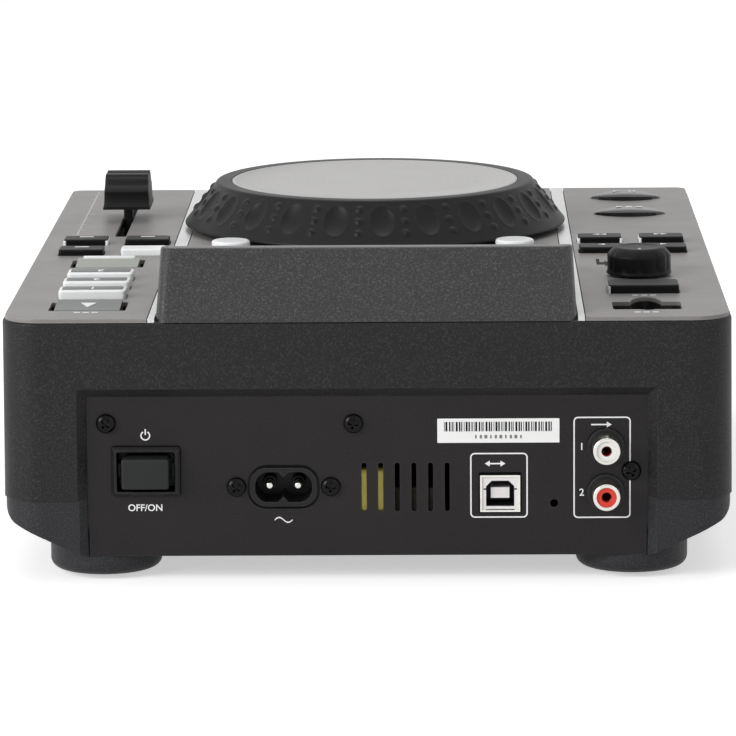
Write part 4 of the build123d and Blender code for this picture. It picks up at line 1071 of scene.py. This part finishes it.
@dataclass
class KeyMarks(Assembly):
    """Strips, marks, white end strips painted as glints on the keys, and short printed dashes beside them.

    Attributes:
        rise: Thickness of a mark.
        strip: Thickness of a pad's strip.
        flange: Width of a key's flange under the deck.
        pit_dashes: X and y of the dashes behind the memory stick's pit.
        arrow_place: X and y of the arrow beside the select knob.
        arrow_scale: Millimetres for each unit of the arrow's outline, across and along.
        heads: Ways along X in which each key's arrowheads point, 0 for a bar.
        guide_ends: Keys with a white end strip, a painted glint on the rounded end, and its end.
        guide: An end strip's thickness.
        guide_proud: How far it stands out of the key.
        guide_depth: How far it reaches under the deck.
    """

    rise: float = 0.06 * MM
    strip: float = 0.15 * MM
    flange: float = 1.0 * MM
    pit_dashes: Flat = (-84.0 * MM, 127.9 * MM)
    arrow_place: Flat = (-73.8 * MM, 30.0 * MM)
    arrow_scale: Flat = (1.2, 4.8)
    heads: tuple = (("key_left_1", (-1, -1)), ("key_left_2", (1, 1)), ("key_left_3", (-1,)), ("key_left_4", (1,)),
                    ("key_right_1", (0,)), ("key_right_2", (0,)), ("key_right_4", (0,)))
    guide_ends: tuple = (("key_right_2", 1), ("key_right_2", -1), ("key_left_2", 1), ("key_left_2", -1),
                         ("key_left_1", 1), ("key_back", 1))
    guide: float = 0.9 * MM
    guide_proud: float = 0.12 * MM
    guide_depth: float = 1.2 * MM

    def build(self) -> None:
        """Model every strip and mark."""
        for number in (1, 2, 3):
            self.build_pad(number)
        self.build_eject()
        low, high, centre = span("key_menu")
        lip = tile("menu_key_lip", (centre.x, low.y + self.flange + 0.9 * MM, high.z - 0.2 * MM),
                   (16.6 * MM, 1.7 * MM, 0.85 * MM), 0.4 * MM, 0.25 * MM)
        self.add(lip, "key_menu", "button_white", "key_white", 35)
        self.build_dashes()
        self.build_transport()
        self.build_guides()
        points = [(-1.5, -1.3), (-0.6, -1.3), (-0.6, 0.1), (0.7, 0.1), (0.7, -0.7), (2.0, 0.65), (0.7, 2.0),
                  (0.7, 1.1), (-1.5, 1.1)]
        across, along = self.arrow_scale
        arrow = flat_shape("knob_arrow", shifted([(-x * across, y * along) for x, y in points], 0, 0), self.rise)
        self.add(lay_on(arrow, (*self.arrow_place, self.deck)), "case", "black_plastic", "black_ink")

    def build_pad(self, number: int) -> None:
        """A grey strip with a plain number on one pad.

        Args:
            number: The number of the pad.
        """
        name = f"pad_{number}"
        low, high, centre = span(name)
        size = (high.x - low.x - 2 * self.flange - 2.0 * MM, high.y - low.y - 2 * self.flange - 3.4 * MM, self.strip)
        strip = tile(f"pad_strip_{number}", (centre.x, centre.y - 0.6 * MM, high.z), size, 0.8 * MM, 0.05 * MM)
        self.add(strip, name, "button_grey", "pad_strip_grey", 35)
        mark = lettering(f"pad_number_{number}", str(number), 3.4 * MM, self.rise)
        lay_on(mark, (centre.x, centre.y, high.z + self.strip + self.rise / 2))
        self.add(mark, name, "button_white", "white_ink")

    def build_eject(self) -> None:
        """A triangle that points to the rear on the eject key's sloped face."""
        low, high, centre = span("key_eject")
        corners = [(x, y, high.z - 0.55 * MM) for x, y in shifted([(-2.4, -2.6), (2.4, -2.6), (0, 3.2)],
                                                                 centre.x, centre.y)]
        mark = prism("eject_triangle", corners, (0, 0, self.rise * 3))
        fall = 0.8 * MM / (high.y - low.y - 2 * self.flange)
        for vertex in mark.data.vertices:
            vertex.co.z -= (vertex.co.y - centre.y) * fall - 0.12 * MM
        self.add(mark, "key_eject", "button_white", "white_ink")

    def build_dashes(self) -> None:
        """Short printed dashes behind the wide keys and the memory stick's pit."""
        places = [(span(name)[2].x, span(name)[1].y + 2.4 * MM) for name in ("key_eject", "key_back")]
        dashes = []
        for x, y in (*places, self.pit_dashes):
            for step in (-2.7, 0.0, 2.7):
                dashes.append(tile("key_dash", (x + step * MM, y, self.deck), (1.9 * MM, 1.1 * MM, self.rise)))
        self.add(join_all("key_dashes", dashes), "case", "button_white", "white_ink")

    def build_transport(self) -> None:
        """Plain arrowheads on the small keys, a triangle with two bars and three dots on the almond keys."""
        for name, ways in self.heads:
            marks = [self.head_mark((number - (len(ways) - 1) / 2) * 2.3 * MM, way)
                     for number, way in enumerate(ways)]
            self.lay_mark(f"{name}_mark", marks, name, -1.6 * MM)
        marks = [flat_shape("play_mark", shifted([(4.2, -1.3), (4.2, 1.3), (1.4, 0)], 0, 0), self.rise)]
        marks += [tile("play_mark", (x * MM, 0, 0), (0.8 * MM, 2.5 * MM, self.rise)) for x in (-1.6, -3.2)]
        self.lay_mark("play_marks", marks, "key_play", -2.0 * MM)
        marks = [tile("cue_mark", (x * MM, 0, 0), (2.2 * MM, 1.7 * MM, self.rise), 0.5 * MM) for x in (-3.4, 0, 3.4)]
        self.lay_mark("cue_marks", marks, "key_cue", -2.0 * MM)

    def head_mark(self, x: float, way: int) -> Piece:
        """An arrowhead that points along X, or a short bar where way is 0.

        Args:
            x: Place of its centre.
            way: 1 or -1 for the side it points to, or 0.

        Returns:
            The mark, lying on the origin.
        """
        if way == 0:
            return tile("key_mark", (x, 0, 0), (4.6 * MM, 1.1 * MM, self.rise))
        outline = shifted([(-way * 1.1, -1.1), (way * 1.1, 0), (-way * 1.1, 1.1)], x, 0)
        return flat_shape("key_mark", outline, self.rise)

    def lay_mark(self, name: str, marks: Sequence[Piece], key: str, shift: float) -> None:
        """Join marks and lay them on a key's top, moved along Y from its centre.

        Args:
            name: The joined mark's name.
            marks: The marks.
            key: The key's node.
            shift: The move along Y.
        """
        _, high, centre = span(key)
        mark = lay_on(join_all(name, marks), (centre.x, centre.y + shift, high.z))
        self.add(mark, key, "button_white", "white_ink")

    def build_guides(self) -> None:
        """White strips that wrap the ends of some black keys, painted glints on their rounded ends."""
        for number, (name, side) in enumerate(self.guide_ends, 1):
            low, high, centre = span(name)
            edge = (high.x if side > 0 else low.x) - side * self.flange
            size = (self.guide, high.y - low.y - 2 * self.flange + 2 * self.guide_proud,
                    high.z - self.deck + self.guide_depth - 0.45 * MM)
            spot = (edge - side * (self.guide / 2 - self.guide_proud), centre.y, self.deck - self.guide_depth)
            # Painted glint: the white strip stands for the bright glint on the key's rounded end.
            guide = tile(f"key_end_guide_{number}", spot, size, 0.35 * MM, 0.15 * MM)
            self.add(guide, name, "button_white", "key_white", 35)


@dataclass
class RearPrints(Assembly):
    """Printed frames and marks, and the paper label, on the rear panel. Places are x and z in millimetres.

    Attributes:
        rise: Thickness of the print.
        line: Width of the frames' lines.
        corner: Radius of their corners.
        label_centre: Centre of the label.
        label_size: Width and height of the label.
        paper: Thickness of the label.
        ink: Thickness of the print on it.
    """

    rise: float = 0.04 * MM
    line: float = 0.42 * MM
    corner: float = 1.4 * MM
    label_centre: Flat = (-39.4, 45.7)
    label_size: Flat = (36.6 * MM, 7.4 * MM)
    paper: float = 0.1 * MM
    ink: float = 0.02 * MM

    def build(self) -> None:
        """Model every print."""
        for name, x, z, width, height in (("usb_frame", -39.55, 28.95, 17.3, 19.9),
                                          ("audio_frame", -70.5, 34.3, 17.2, 31.0)):
            outline = frame_outline(name, (x * MM, z * MM), (width * MM, height * MM, self.rise), self.panel,
                                    self.corner, self.line)
            self.add(outline, "case", "port_white", "white_ink")
        for name, body, x, z, height in (("switch_word", "OFF/ON", 66.9, 22.4, 2.0),
                                         ("first_number", "1", -64.4, 40.6, 2.1),
                                         ("second_number", "2", -64.4, 26.6, 2.1)):
            self.put(lay_on(lettering(name, body, height * MM, self.rise), (0, 0, self.rise / 2)), x, z)
        self.build_power_mark()
        self.build_wave_mark()
        self.build_arrows()
        self.build_label()

    def put(self, mark: Piece, x: float, z: float, finish: str = "white_ink", slot: str = "port_white",
            lift: float = 0.0) -> None:
        """Stand a flat mark on the panel at an x and z in millimetres."""
        stand_up(mark, (x * MM, self.panel + lift, z * MM))
        self.add(mark, "case", slot, finish)

    def build_power_mark(self) -> None:
        """An open ring with an upright bar, above the switch."""
        radius, width = 1.5 * MM, 0.4 * MM
        angles = [math.radians(120 + 300 * i / 24) for i in range(25)]
        points = [(radius * math.cos(a), radius * math.sin(a)) for a in angles]
        points += [((radius - width) * math.cos(a), (radius - width) * math.sin(a)) for a in reversed(angles)]
        self.put(flat_shape("power_ring", points, self.rise), 66.6, 44.6)
        self.put(tile("power_bar", (0, radius * 0.75, 0), (width, radius * 1.2, self.rise)), 66.6, 44.6)

    def build_wave_mark(self) -> None:
        """One period of a wave under the mains inlet."""
        length, height, width = 5.4 * MM, 0.75 * MM, 0.4 * MM
        middle = [((i / 24 - 0.5) * length, height * math.sin(math.tau * i / 24)) for i in range(25)]
        points = [(x, z + width / 2) for x, z in middle] + [(x, z - width / 2) for x, z in reversed(middle)]
        self.put(flat_shape("mains_wave", points, self.rise), 25.3, 18.6)

    def build_arrows(self) -> None:
        """Plain arrows over the data socket and over the phono sockets."""
        half, neck, bar, barb = 3.1, 1.6, 0.22, 0.9
        for name, x, z, double in (("data_arrow", -38.4, 35.6, True), ("output_arrow", -70.3, 47.4, False)):
            tail = -neck if double else -half
            outline = [(tail, bar), (neck, bar), (neck, barb), (half, 0), (neck, -barb), (neck, -bar), (tail, -bar)]
            if double:
                outline += [(tail, -barb), (-half, 0), (tail, barb)]
            self.put(flat_shape(name, shifted(outline, 0, 0), self.rise), x, z)

    def build_label(self) -> None:
        """A white paper label with upright bars of mixed width."""
        width, height = self.label_size
        x, z = self.label_centre
        self.put(tile("paper_label", (0, 0, 0), (width, height, self.paper), 0.25 * MM), x, z, "label_paper")
        bars, reach = [], -width / 2 + 2.0 * MM
        while reach < width / 2 - 2.4 * MM:
            number = len(bars)
            bar = (0.2 + 0.13 * ((number * 7) % 4)) * MM
            bars.append(tile("label_bar", (reach + bar / 2, 0, 0), (bar, 2.9 * MM, self.ink)))
            reach += bar + (0.24 + 0.11 * ((number * 5) % 3)) * MM
        self.put(join_all("label_bars", bars), x, z + 1.25, "black_ink", "black_plastic", self.paper)
        dashes = [tile("label_dash", ((number - 4.5) * 1.5 * MM, 0, 0),
                       ((0.5 + 0.2 * (number % 3)) * MM, 1.1 * MM, self.ink), 0.2 * MM) for number in range(10)]
        self.put(join_all("label_dashes", dashes), x, z - 1.85, "grey_ink", "black_plastic", self.paper)


@dataclass
class Screws(Assembly):
    """Pan-head screws with a cross recess: five at the rear and six under the case.

    Attributes:
        head_radius: Radius of the head.
        head_height: Height of the head.
        brim: Height of the head's straight edge.
        shank_radius: Radius of the thread's crest.
        thread_pitch: Distance from one turn of the thread to the next.
        slot_width: Width of an arm of the cross.
        slot_length: Length of the cross.
        rear_places: X and z of the rear ones, in millimetres.
        under_places: X and y of the ones under the case.
        under_seat: Height that their heads sit against.
    """

    head_radius: float = 2.95 * MM
    head_height: float = 1.9 * MM
    brim: float = 0.45 * MM
    shank_radius: float = 1.45 * MM
    thread_pitch: float = 0.8 * MM
    slot_width: float = 1.0 * MM
    slot_length: float = 3.7 * MM
    rear_places: tuple[Flat, ...] = ((78.4, 48.4), (4.1, 48.1), (-79.3, 33.3), (39.4, 28.8), (11.0, 28.8))
    under_places: tuple[Flat, ...] = tuple((x, y) for x in (101, -101) for y in (112, 0, -118))
    under_seat: float = 19.0

    def build(self) -> None:
        """Model one screw of each length and copy it to its places."""
        rear, under = self.model("rear_screw", 8.0 * MM), self.model("under_screw", 14.0 * MM)
        for number, (x, z) in enumerate(self.rear_places, 1):
            screw = place(copy_of(rear, f"rear_screw_{number}"),
                          Matrix.Rotation(math.radians(18 + 31 * number), 4, "Z"))
            self.finish(stand_up(screw, (x * MM, self.panel, z * MM)))
        for number, (x, y) in enumerate(self.under_places, 1):
            flip = Matrix.Rotation(math.pi, 4, "X") @ Matrix.Rotation(math.radians(50 * number), 4, "Z")
            spot = Matrix.Translation(Vector((x, y, self.under_seat)) * MM)
            self.finish(place(copy_of(under, f"under_screw_{number}"), spot @ flip))
        for model in (rear, under):
            bpy.data.objects.remove(model)

    def finish(self, screw: Piece) -> None:
        """Dress a screw and let it stand for the plain ones."""
        self.add(screw, "case", "screw_black", "black_oxide", 0, "screws")

    def model(self, name: str, length: float) -> Piece:
        """A screw with its head up and its seat at the origin.

        Args:
            name: The object's name.
            length: Length of its shank.

        Returns:
            The screw.
        """
        radius, shank = self.head_radius, self.shank_radius
        profile = [(0, self.head_height)]
        for step in range(1, 8):
            angle = math.radians(90 - step * 90 / 8)
            profile.append((radius * math.cos(angle) ** 0.8,
                            self.brim + (self.head_height - self.brim) * math.sin(angle)))
        profile += [(radius, self.brim), (radius, 0.1 * MM), (radius - 0.1 * MM, 0), (shank, 0)]
        for turn in range(int((length - 1.6 * MM) / self.thread_pitch)):
            profile += [(shank - 0.28 * MM, -(turn + 0.5) * self.thread_pitch),
                        (shank, -(turn + 1) * self.thread_pitch)]
        profile += [(0.25 * MM, -length + 0.1 * MM), (0, -length)]
        screw = lathe(name, profile, (0, 0, 0), 36)
        self.cut_cross(screw)
        only(screw)
        bpy.ops.object.shade_smooth_by_angle(angle=math.radians(30))
        return screw

    def cut_cross(self, screw: Piece) -> None:
        """Sink the cross recess into the head.

        Args:
            screw: The screw.
        """
        half, reach = self.slot_width / 2, self.slot_length / 2
        corner = [Vector((half, half)), Vector((half, reach)), Vector((-half, reach))]
        outline = [tuple(Matrix.Rotation(quarter * math.pi / 2, 2) @ point) for quarter in range(4)
                   for point in corner]
        cutter = flat_shape("cross_cutter", outline, 1.6 * MM)
        for vertex in cutter.data.vertices:
            if vertex.co.z < 0.1 * MM:
                vertex.co.x *= 0.55
                vertex.co.y *= 0.55
        lay_on(cutter, (0, 0, self.head_height - 1.25 * MM))
        apply_modifier(screw, "BOOLEAN", operation="DIFFERENCE", object=cutter, solver="EXACT")
        bpy.data.objects.remove(cutter)


@dataclass
class Feet(Assembly):
    """Round rubber feet with a rolled edge and two ring grooves under them.

    Attributes:
        radius: Radius of a foot.
    """

    radius: float = 8.0 * MM

    def build(self) -> None:
        """Model one foot and copy it to the four places."""
        low, high, _ = span("feet")
        rise, r = high.z - low.z, self.radius
        profile = [(0, 0.3 * MM), (r * 0.34, 0.3 * MM), (r * 0.38, 0), (r * 0.56, 0), (r * 0.6, 0.35 * MM),
                   (r * 0.7, 0.35 * MM), (r * 0.74, 0), *shifted([(-0.8, 0), (-0.3, 0.15), (0, 0.6)], r, 0),
                   (r, rise), (0, rise)]
        model = lathe("foot_model", profile, (0, 0, 0), 72)
        places = [(x, y, low.z) for x in (low.x + r, high.x - r) for y in (low.y + r, high.y - r)]
        for number, spot in enumerate(places, 1):
            foot = lay_on(copy_of(model, f"rubber_foot_{number}"), spot)
            self.add(foot, "case", "rubber", "foot_rubber", 40, "feet")
        bpy.data.objects.remove(model)


@dataclass
class RearSockets(Assembly):
    """Detail of the phono sockets, the data socket, the mains inlet, the switch and the vents.

    Attributes:
        gap: Thickness of the near-black sheets painted as shadow lines round the fittings and on the data socket's
            insert.
        phono_x: X of the phono sockets.
        phono_heights: Their heights.
        barrel_radius: Outer radius of a barrel.
        barrel_bore: Its bore.
        lip_radius: Inner radius of its rolled lip.
        curl: Radius of the lip's roll.
        contact_radius: Radius of the centre contact.
        collar_radius: Radius of the collar round a barrel.
        data_centre: X and z of the data socket.
        inlet_centre: X and z of the mains inlet.
        pin_spacing: Half the distance between its pins.
        switch_centre: X and z of the switch.
        switch_mouth: Width and height of its mouth.
        winding_sides: X of the winding's two sides.
    """

    gap: float = 0.03 * MM
    phono_x: float = -71.6 * MM
    phono_heights: Flat = (40.8 * MM, 26.8 * MM)
    barrel_radius: float = 4.15 * MM
    barrel_bore: float = 3.65 * MM
    lip_radius: float = 2.95 * MM
    curl: float = 0.55 * MM
    contact_radius: float = 1.58 * MM
    collar_radius: float = 5.6 * MM
    data_centre: Flat = (-39.9 * MM, 26.5 * MM)
    inlet_centre: Flat = (25.2 * MM, 28.8 * MM)
    pin_spacing: float = 4.3 * MM
    switch_centre: Flat = (66.5 * MM, 33.8 * MM)
    switch_mouth: Flat = (17.44 * MM, 12.04 * MM)
    winding_sides: Flat = (-6.4 * MM, 3.6 * MM)

    def build(self) -> None:
        """Model the detail of every fitting."""
        self.build_phono()
        self.build_data()
        self.build_inlet()
        self.build_switch()
        self.build_winding()

    def seam_line(self, name: str, centre: Flat, size: Flat, corner: float, line: float) -> None:
        """A near-black sheet round a fitting, a painted shadow line where it meets the panel."""
        seam = frame_outline(name, centre, (*size, self.gap), self.panel, corner, line)
        self.add(seam, "case", "panel_black", "shadow_gap")

    def build_phono(self) -> None:
        """Barrels with a rolled lip, a centre contact in each coloured dark red as painted shade deep in the hole,
        and a turned collar round each.
        """
        low, high, _ = span("rca_shells")
        tip, root, neck = high.y, low.y, self.panel + 1.2 * MM
        outer, bore, lip = self.barrel_radius, self.barrel_bore, self.lip_radius
        roll = [(outer - self.curl * (1 - math.sin(a)), tip - self.curl * (1 - math.cos(a)))
                for a in map(math.radians, (90, 70, 50, 30, 15, 0))]
        barrel = [(bore, root), (outer - 0.2 * MM, root), (outer - 0.2 * MM, neck), (outer, neck), *roll,
                  *shifted([(0.35, 0), (0.1, -0.1), (0, -0.35), (0.1, -0.55)], lip, tip),
                  (bore, tip - 0.56 * MM), (bore, root)]
        contact = shifted([(-0.2, -13), (0, -13), (0, -0.8), (-0.2, -0.95), (-0.2, -13)], self.contact_radius, tip)
        rim, seat = self.collar_radius, outer + 0.05 * MM
        collar = [(seat, 0), *shifted([(-0.02, 0), (-0.02, 0.9), (-0.5, 1.3)], rim, 0),
                  (outer + 0.4 * MM, 1.3 * MM), (seat, 1.1 * MM), (seat, 0)]
        for number, z in enumerate(self.phono_heights, 1):
            self.add(lathe(f"phono_barrel_{number}", barrel, (self.phono_x, 0, z), 72, "Y"), "case", "nickel",
                     "nickel_plate", 40, "rca_shells")
            # The contact's dark red is painted shade deep in the hole.
            self.add(lathe(f"phono_contact_{number}", contact, (self.phono_x, 0, z), 48, "Y"), "case",
                     "core_red", "contact_resin", 40)
            self.add(lathe(f"phono_collar_{number}", collar, (self.phono_x, self.panel, z), 72, "Y"), "case",
                     "black_plastic", "black_moulding", 30)

    def build_data(self) -> None:
        """A dark lining in the data socket and two black slot marks at its back, painted shade in the cavity and its
        contact slots, and thin dark strips on its insert as painted shadow lines.
        """
        x, z = self.data_centre
        front, depth = span("usb_b_insert")[1].y, 9.0 * MM
        half, top, cut = 4.2, 3.85, 1.68
        outline = shifted([(-half, -top), (half, -top), (half, top - cut), (half - cut, top), (-half + cut, top),
                           (-half, top - cut)], x, z)
        # The lining's dark colour is painted shade in the cavity.
        shade_lining = prism("port_liner", [(px, front - depth, pz) for px, pz in outline], (0, depth - 0.02 * MM, 0))
        with editing(shade_lining):
            pick(shade_lining, "FACE", lambda f: f.normal.y > 0.9)
            bpy.ops.mesh.delete(type="FACE")
        apply_modifier(shade_lining, "SOLIDIFY", thickness=0.12 * MM, offset=-1)
        self.add(shade_lining, "case", "black_plastic", "port_cavity")
        # The black slot marks stand for the shade in the contact slots.
        slots = [tile("port_slot", (side * 1.25 * MM, 2.9 * MM, 0), (1.7 * MM, 1.3 * MM, 0.1 * MM), 0.2 * MM)
                 for side in (-1, 1)]
        slot_shades = stand_up(join_all("port_slots", slots), (x, front - depth + 0.13 * MM, z))
        self.add(slot_shades, "case", "black_plastic", "shadow_gap")
        # Thin dark strips on the insert, painted shadow lines at its edges.
        shadow_strips = [tile("port_fold", (px * MM, pz * MM, 0), (width * MM, height * MM, self.gap))
                 for px, pz, width, height in ((0, -4.95, 8.6, 0.22), (-4.6, 1.35, 0.8, 0.45),
                                               (4.6, 1.35, 0.8, 0.45))]
        self.add(stand_up(join_all("port_folds", shadow_strips), (x, front, z)), "case", "black_plastic", "port_cavity")
        self.seam_line("port_seam", (x, z + 0.2 * MM), (12.9 * MM, 12.5 * MM), 0.5 * MM, 0.6 * MM)

    def build_inlet(self) -> None:
        """Sleeves round the inlet's pins."""
        x, z = self.inlet_centre
        floor = span("ac_inlet")[1].y - 13.0 * MM
        profile = shifted([(1.25, 0), (2.0, 0), (2.0, 4.6), (1.8, 5), (1.5, 5), (1.25, 4.6), (1.25, 0)], 0, floor)
        for number, side in enumerate((-1, 1), 1):
            sleeve = lathe(f"inlet_sleeve_{number}", profile, (x + side * self.pin_spacing, 0, z), 40, "Y")
            self.add(sleeve, "case", "black_plastic", "switch_cap_grey", 40)

    def build_switch(self) -> None:
        """A near-black sleeve in the switch's mouth, painted shade in its pit, and a painted shadow line round its
        frame.
        """
        depth = 5.8 * MM
        # The sleeve's near-black is painted shade on the pit's walls.
        sleeve = frame_outline("switch_sleeve", self.switch_centre, (*self.switch_mouth, depth + 1.6 * MM),
                               self.panel - depth, 0.6 * MM, 0.12 * MM)
        self.add(sleeve, "case", "black_plastic", "shadow_gap")
        self.seam_line("switch_seam", self.switch_centre, (20.9 * MM, 15.4 * MM), 1.0 * MM, 0.3 * MM)

    def build_winding(self) -> None:
        """The transformer's taped winding, whose end comes up to the vents."""
        low, high, _ = span("psu_transformer")
        reach, edge = self.panel - 1.6 * MM, 1.6 * MM
        left, right = self.winding_sides
        winding = tile("transformer_winding", ((left + right) / 2, (high.y + reach) / 2, low.z + 0.6 * MM),
                       (right - left, reach - high.y, high.z - low.z - 0.8 * MM), edge, edge)
        self.add(winding, "case", "tape_yellow", "winding_tape", 35)


@dataclass
class DiscSlot(Assembly):
    """Felt lips of the disc slot in the front wall.

    Attributes:
        half_length: Half the length of a lip.
        low: Lower edge of the slot.
        high: Upper edge of the slot.
        lip: Height of a lip.
    """

    half_length: float = 61.0 * MM
    low: float = 33.5 * MM
    high: float = 38.7 * MM
    lip: float = 1.5 * MM

    def build(self) -> None:
        """Model the two lips, each with a rounded free edge."""
        front = span("top_cover")[0].y
        section = ((0.0, -0.2), (0.0, 0.75), (0.3, 1.2), (0.7, 1.0), (1.0, 0.7), (1.0, -0.2))
        for name, base, way in (("slot_felt_lower", self.low, 1), ("slot_felt_upper", self.high, -1)):
            points = [(-self.half_length, front + (1.0 + across) * MM, base + way * rise * self.lip)
                      for across, rise in section]
            self.add(prism(name, points, (2 * self.half_length, 0, 0)), "case", "black_plastic", "slot_felt", 50)


# ---------------------------------------------------------------- studio
@dataclass
class Studio:
    """Camera, lights, floor and background.

    Attributes:
        focal_pixels: Focal length in pixels of the square frame.
        position: The camera's place.
        pitch: How far it looks down.
        yaw: How far it is turned.
        roll: How far it is tilted.
        lamps: Name, place, side and power of each lamp.
        world_light: Strength of the world where it lights the object.
        floor_glow: Strength of the floor's own white where it is seen.
    """

    focal_pixels: float = 4723.0
    position: Point = (-24.5 * MM, 1525.6 * MM, 313.1 * MM)
    pitch: float = math.radians(10.11)
    yaw: float = math.radians(0.99)
    roll: float = math.radians(-0.44)
    lamps: tuple = (("key_light", (1.5, 1.2, 0.85), 1.0, 26), ("fill_light", (-1.4, 1.3, 1.1), 1.6, 4),
                    ("top_light", (0.1, -0.5, 1.9), 1.5, 9))
    world_light: float = 0.36
    floor_glow: float = 0.52

    def build(self) -> None:
        """Make the camera, lamps, world and floor."""
        bpy.context.scene.view_settings.view_transform = "Standard"
        self.build_camera()
        self.build_world()
        self.build_floor()
        for name, spot, side, power in self.lamps:
            self.build_lamp(name, Vector(spot), side, power)

    def build_camera(self) -> None:
        """Make the camera at the object's rear, a little above it."""
        ahead = Vector((math.sin(self.yaw) * math.cos(self.pitch), -math.cos(self.yaw) * math.cos(self.pitch),
                        -math.sin(self.pitch)))
        right = ahead.cross(Vector((0, 0, 1))).normalized()
        up = right.cross(ahead)
        side = math.cos(self.roll) * right + math.sin(self.roll) * up
        top = -math.sin(self.roll) * right + math.cos(self.roll) * up
        camera = bpy.data.cameras.new("studio_camera")
        camera.sensor_width = SENSOR
        camera.lens = self.focal_pixels / IMAGE_SIDE * SENSOR
        camera.clip_start = 0.01
        holder = bpy.data.objects.new("studio_camera", camera)
        bpy.context.scene.collection.objects.link(holder)
        turn = Matrix((side, top, -ahead)).transposed().to_4x4()
        holder.matrix_world = Matrix.Translation(self.position) @ turn
        bpy.context.scene.camera = holder

    @staticmethod
    def build_lamp(name: str, spot: Vector, side: float, power: float) -> None:
        """Add a square area light aimed at the object.

        Args:
            name: The lamp's name.
            spot: Its place.
            side: Its side.
            power: Its power.
        """
        light = bpy.data.lights.new(name, "AREA")
        light.shape = "SQUARE"
        light.size = side
        light.energy = power
        holder = bpy.data.objects.new(name, light)
        bpy.context.scene.collection.objects.link(holder)
        holder.location = spot
        holder.rotation_euler = (Vector((0, 0, 0.05)) - spot).to_track_quat("-Z", "Y").to_euler()

    def build_world(self) -> None:
        """A white background, dimmer where it lights the object."""
        world = bpy.data.worlds.new("studio_world")
        bpy.context.scene.world = world
        world.use_nodes = True
        tree = world.node_tree
        tree.nodes.clear()
        output = tree.nodes.new("ShaderNodeOutputWorld")
        mix = tree.nodes.new("ShaderNodeMixShader")
        for number, strength in ((1, self.world_light), (2, 1.0)):
            sky = tree.nodes.new("ShaderNodeBackground")
            sky.inputs["Color"].default_value = (1, 1, 1, 1)
            sky.inputs["Strength"].default_value = strength
            tree.links.new(sky.outputs[0], mix.inputs[number])
        self.join_seen(tree, mix.inputs["Fac"])
        tree.links.new(mix.outputs[0], output.inputs["Surface"])

    @staticmethod
    def join_seen(tree: bpy.types.NodeTree, target: Socket) -> None:
        """Drive target with 1 for camera, glossy and transmission rays.

        Args:
            tree: The node tree.
            target: The input that is driven.
        """
        path = tree.nodes.new("ShaderNodeLightPath").outputs
        factor = path["Is Camera Ray"]
        for ray in ("Is Glossy Ray", "Is Transmission Ray"):
            either = tree.nodes.new("ShaderNodeMath")
            either.operation = "MAXIMUM"
            tree.links.new(factor, either.inputs[0])
            tree.links.new(path[ray], either.inputs[1])
            factor = either.outputs[0]
        tree.links.new(factor, target)

    def build_floor(self) -> None:
        """A wide white floor that keeps the object's shadow."""
        bpy.ops.object.select_all(action="DESELECT")
        bpy.ops.mesh.primitive_plane_add(size=14, location=(0, 0, 0))
        floor = bpy.context.object
        floor.name = "studio_floor"
        shader = Shader("studio_floor")
        glow = shader.node("ShaderNodeMath", {1: self.floor_glow}, operation="MULTIPLY")
        self.join_seen(shader.tree, glow.inputs[0])
        shader.feed(shader.surface, {"Base Color": (0.86, 0.86, 0.86, 1), "Roughness": 0.8,
                                     "Specular IOR Level": 0.1, "Emission Color": (1, 1, 1, 1),
                                     "Emission Strength": glow.outputs[0]})
        floor.data.materials.append(shader.material)


def main() -> None:
    """Build and dress every piece."""
    logging.basicConfig(level=logging.INFO, format="%(message)s")
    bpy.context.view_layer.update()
    Studio().build()
    palette = make_palette()
    dress_nodes(palette)
    for assembly in (JogWheel, PitchFader, SelectKnob, AlmondKeys, KeyMarks, RearPrints, Screws, Feet,
                     RearSockets, DiscSlot):
        assembly(palette).build()


if __name__ == "__main__":
    main()
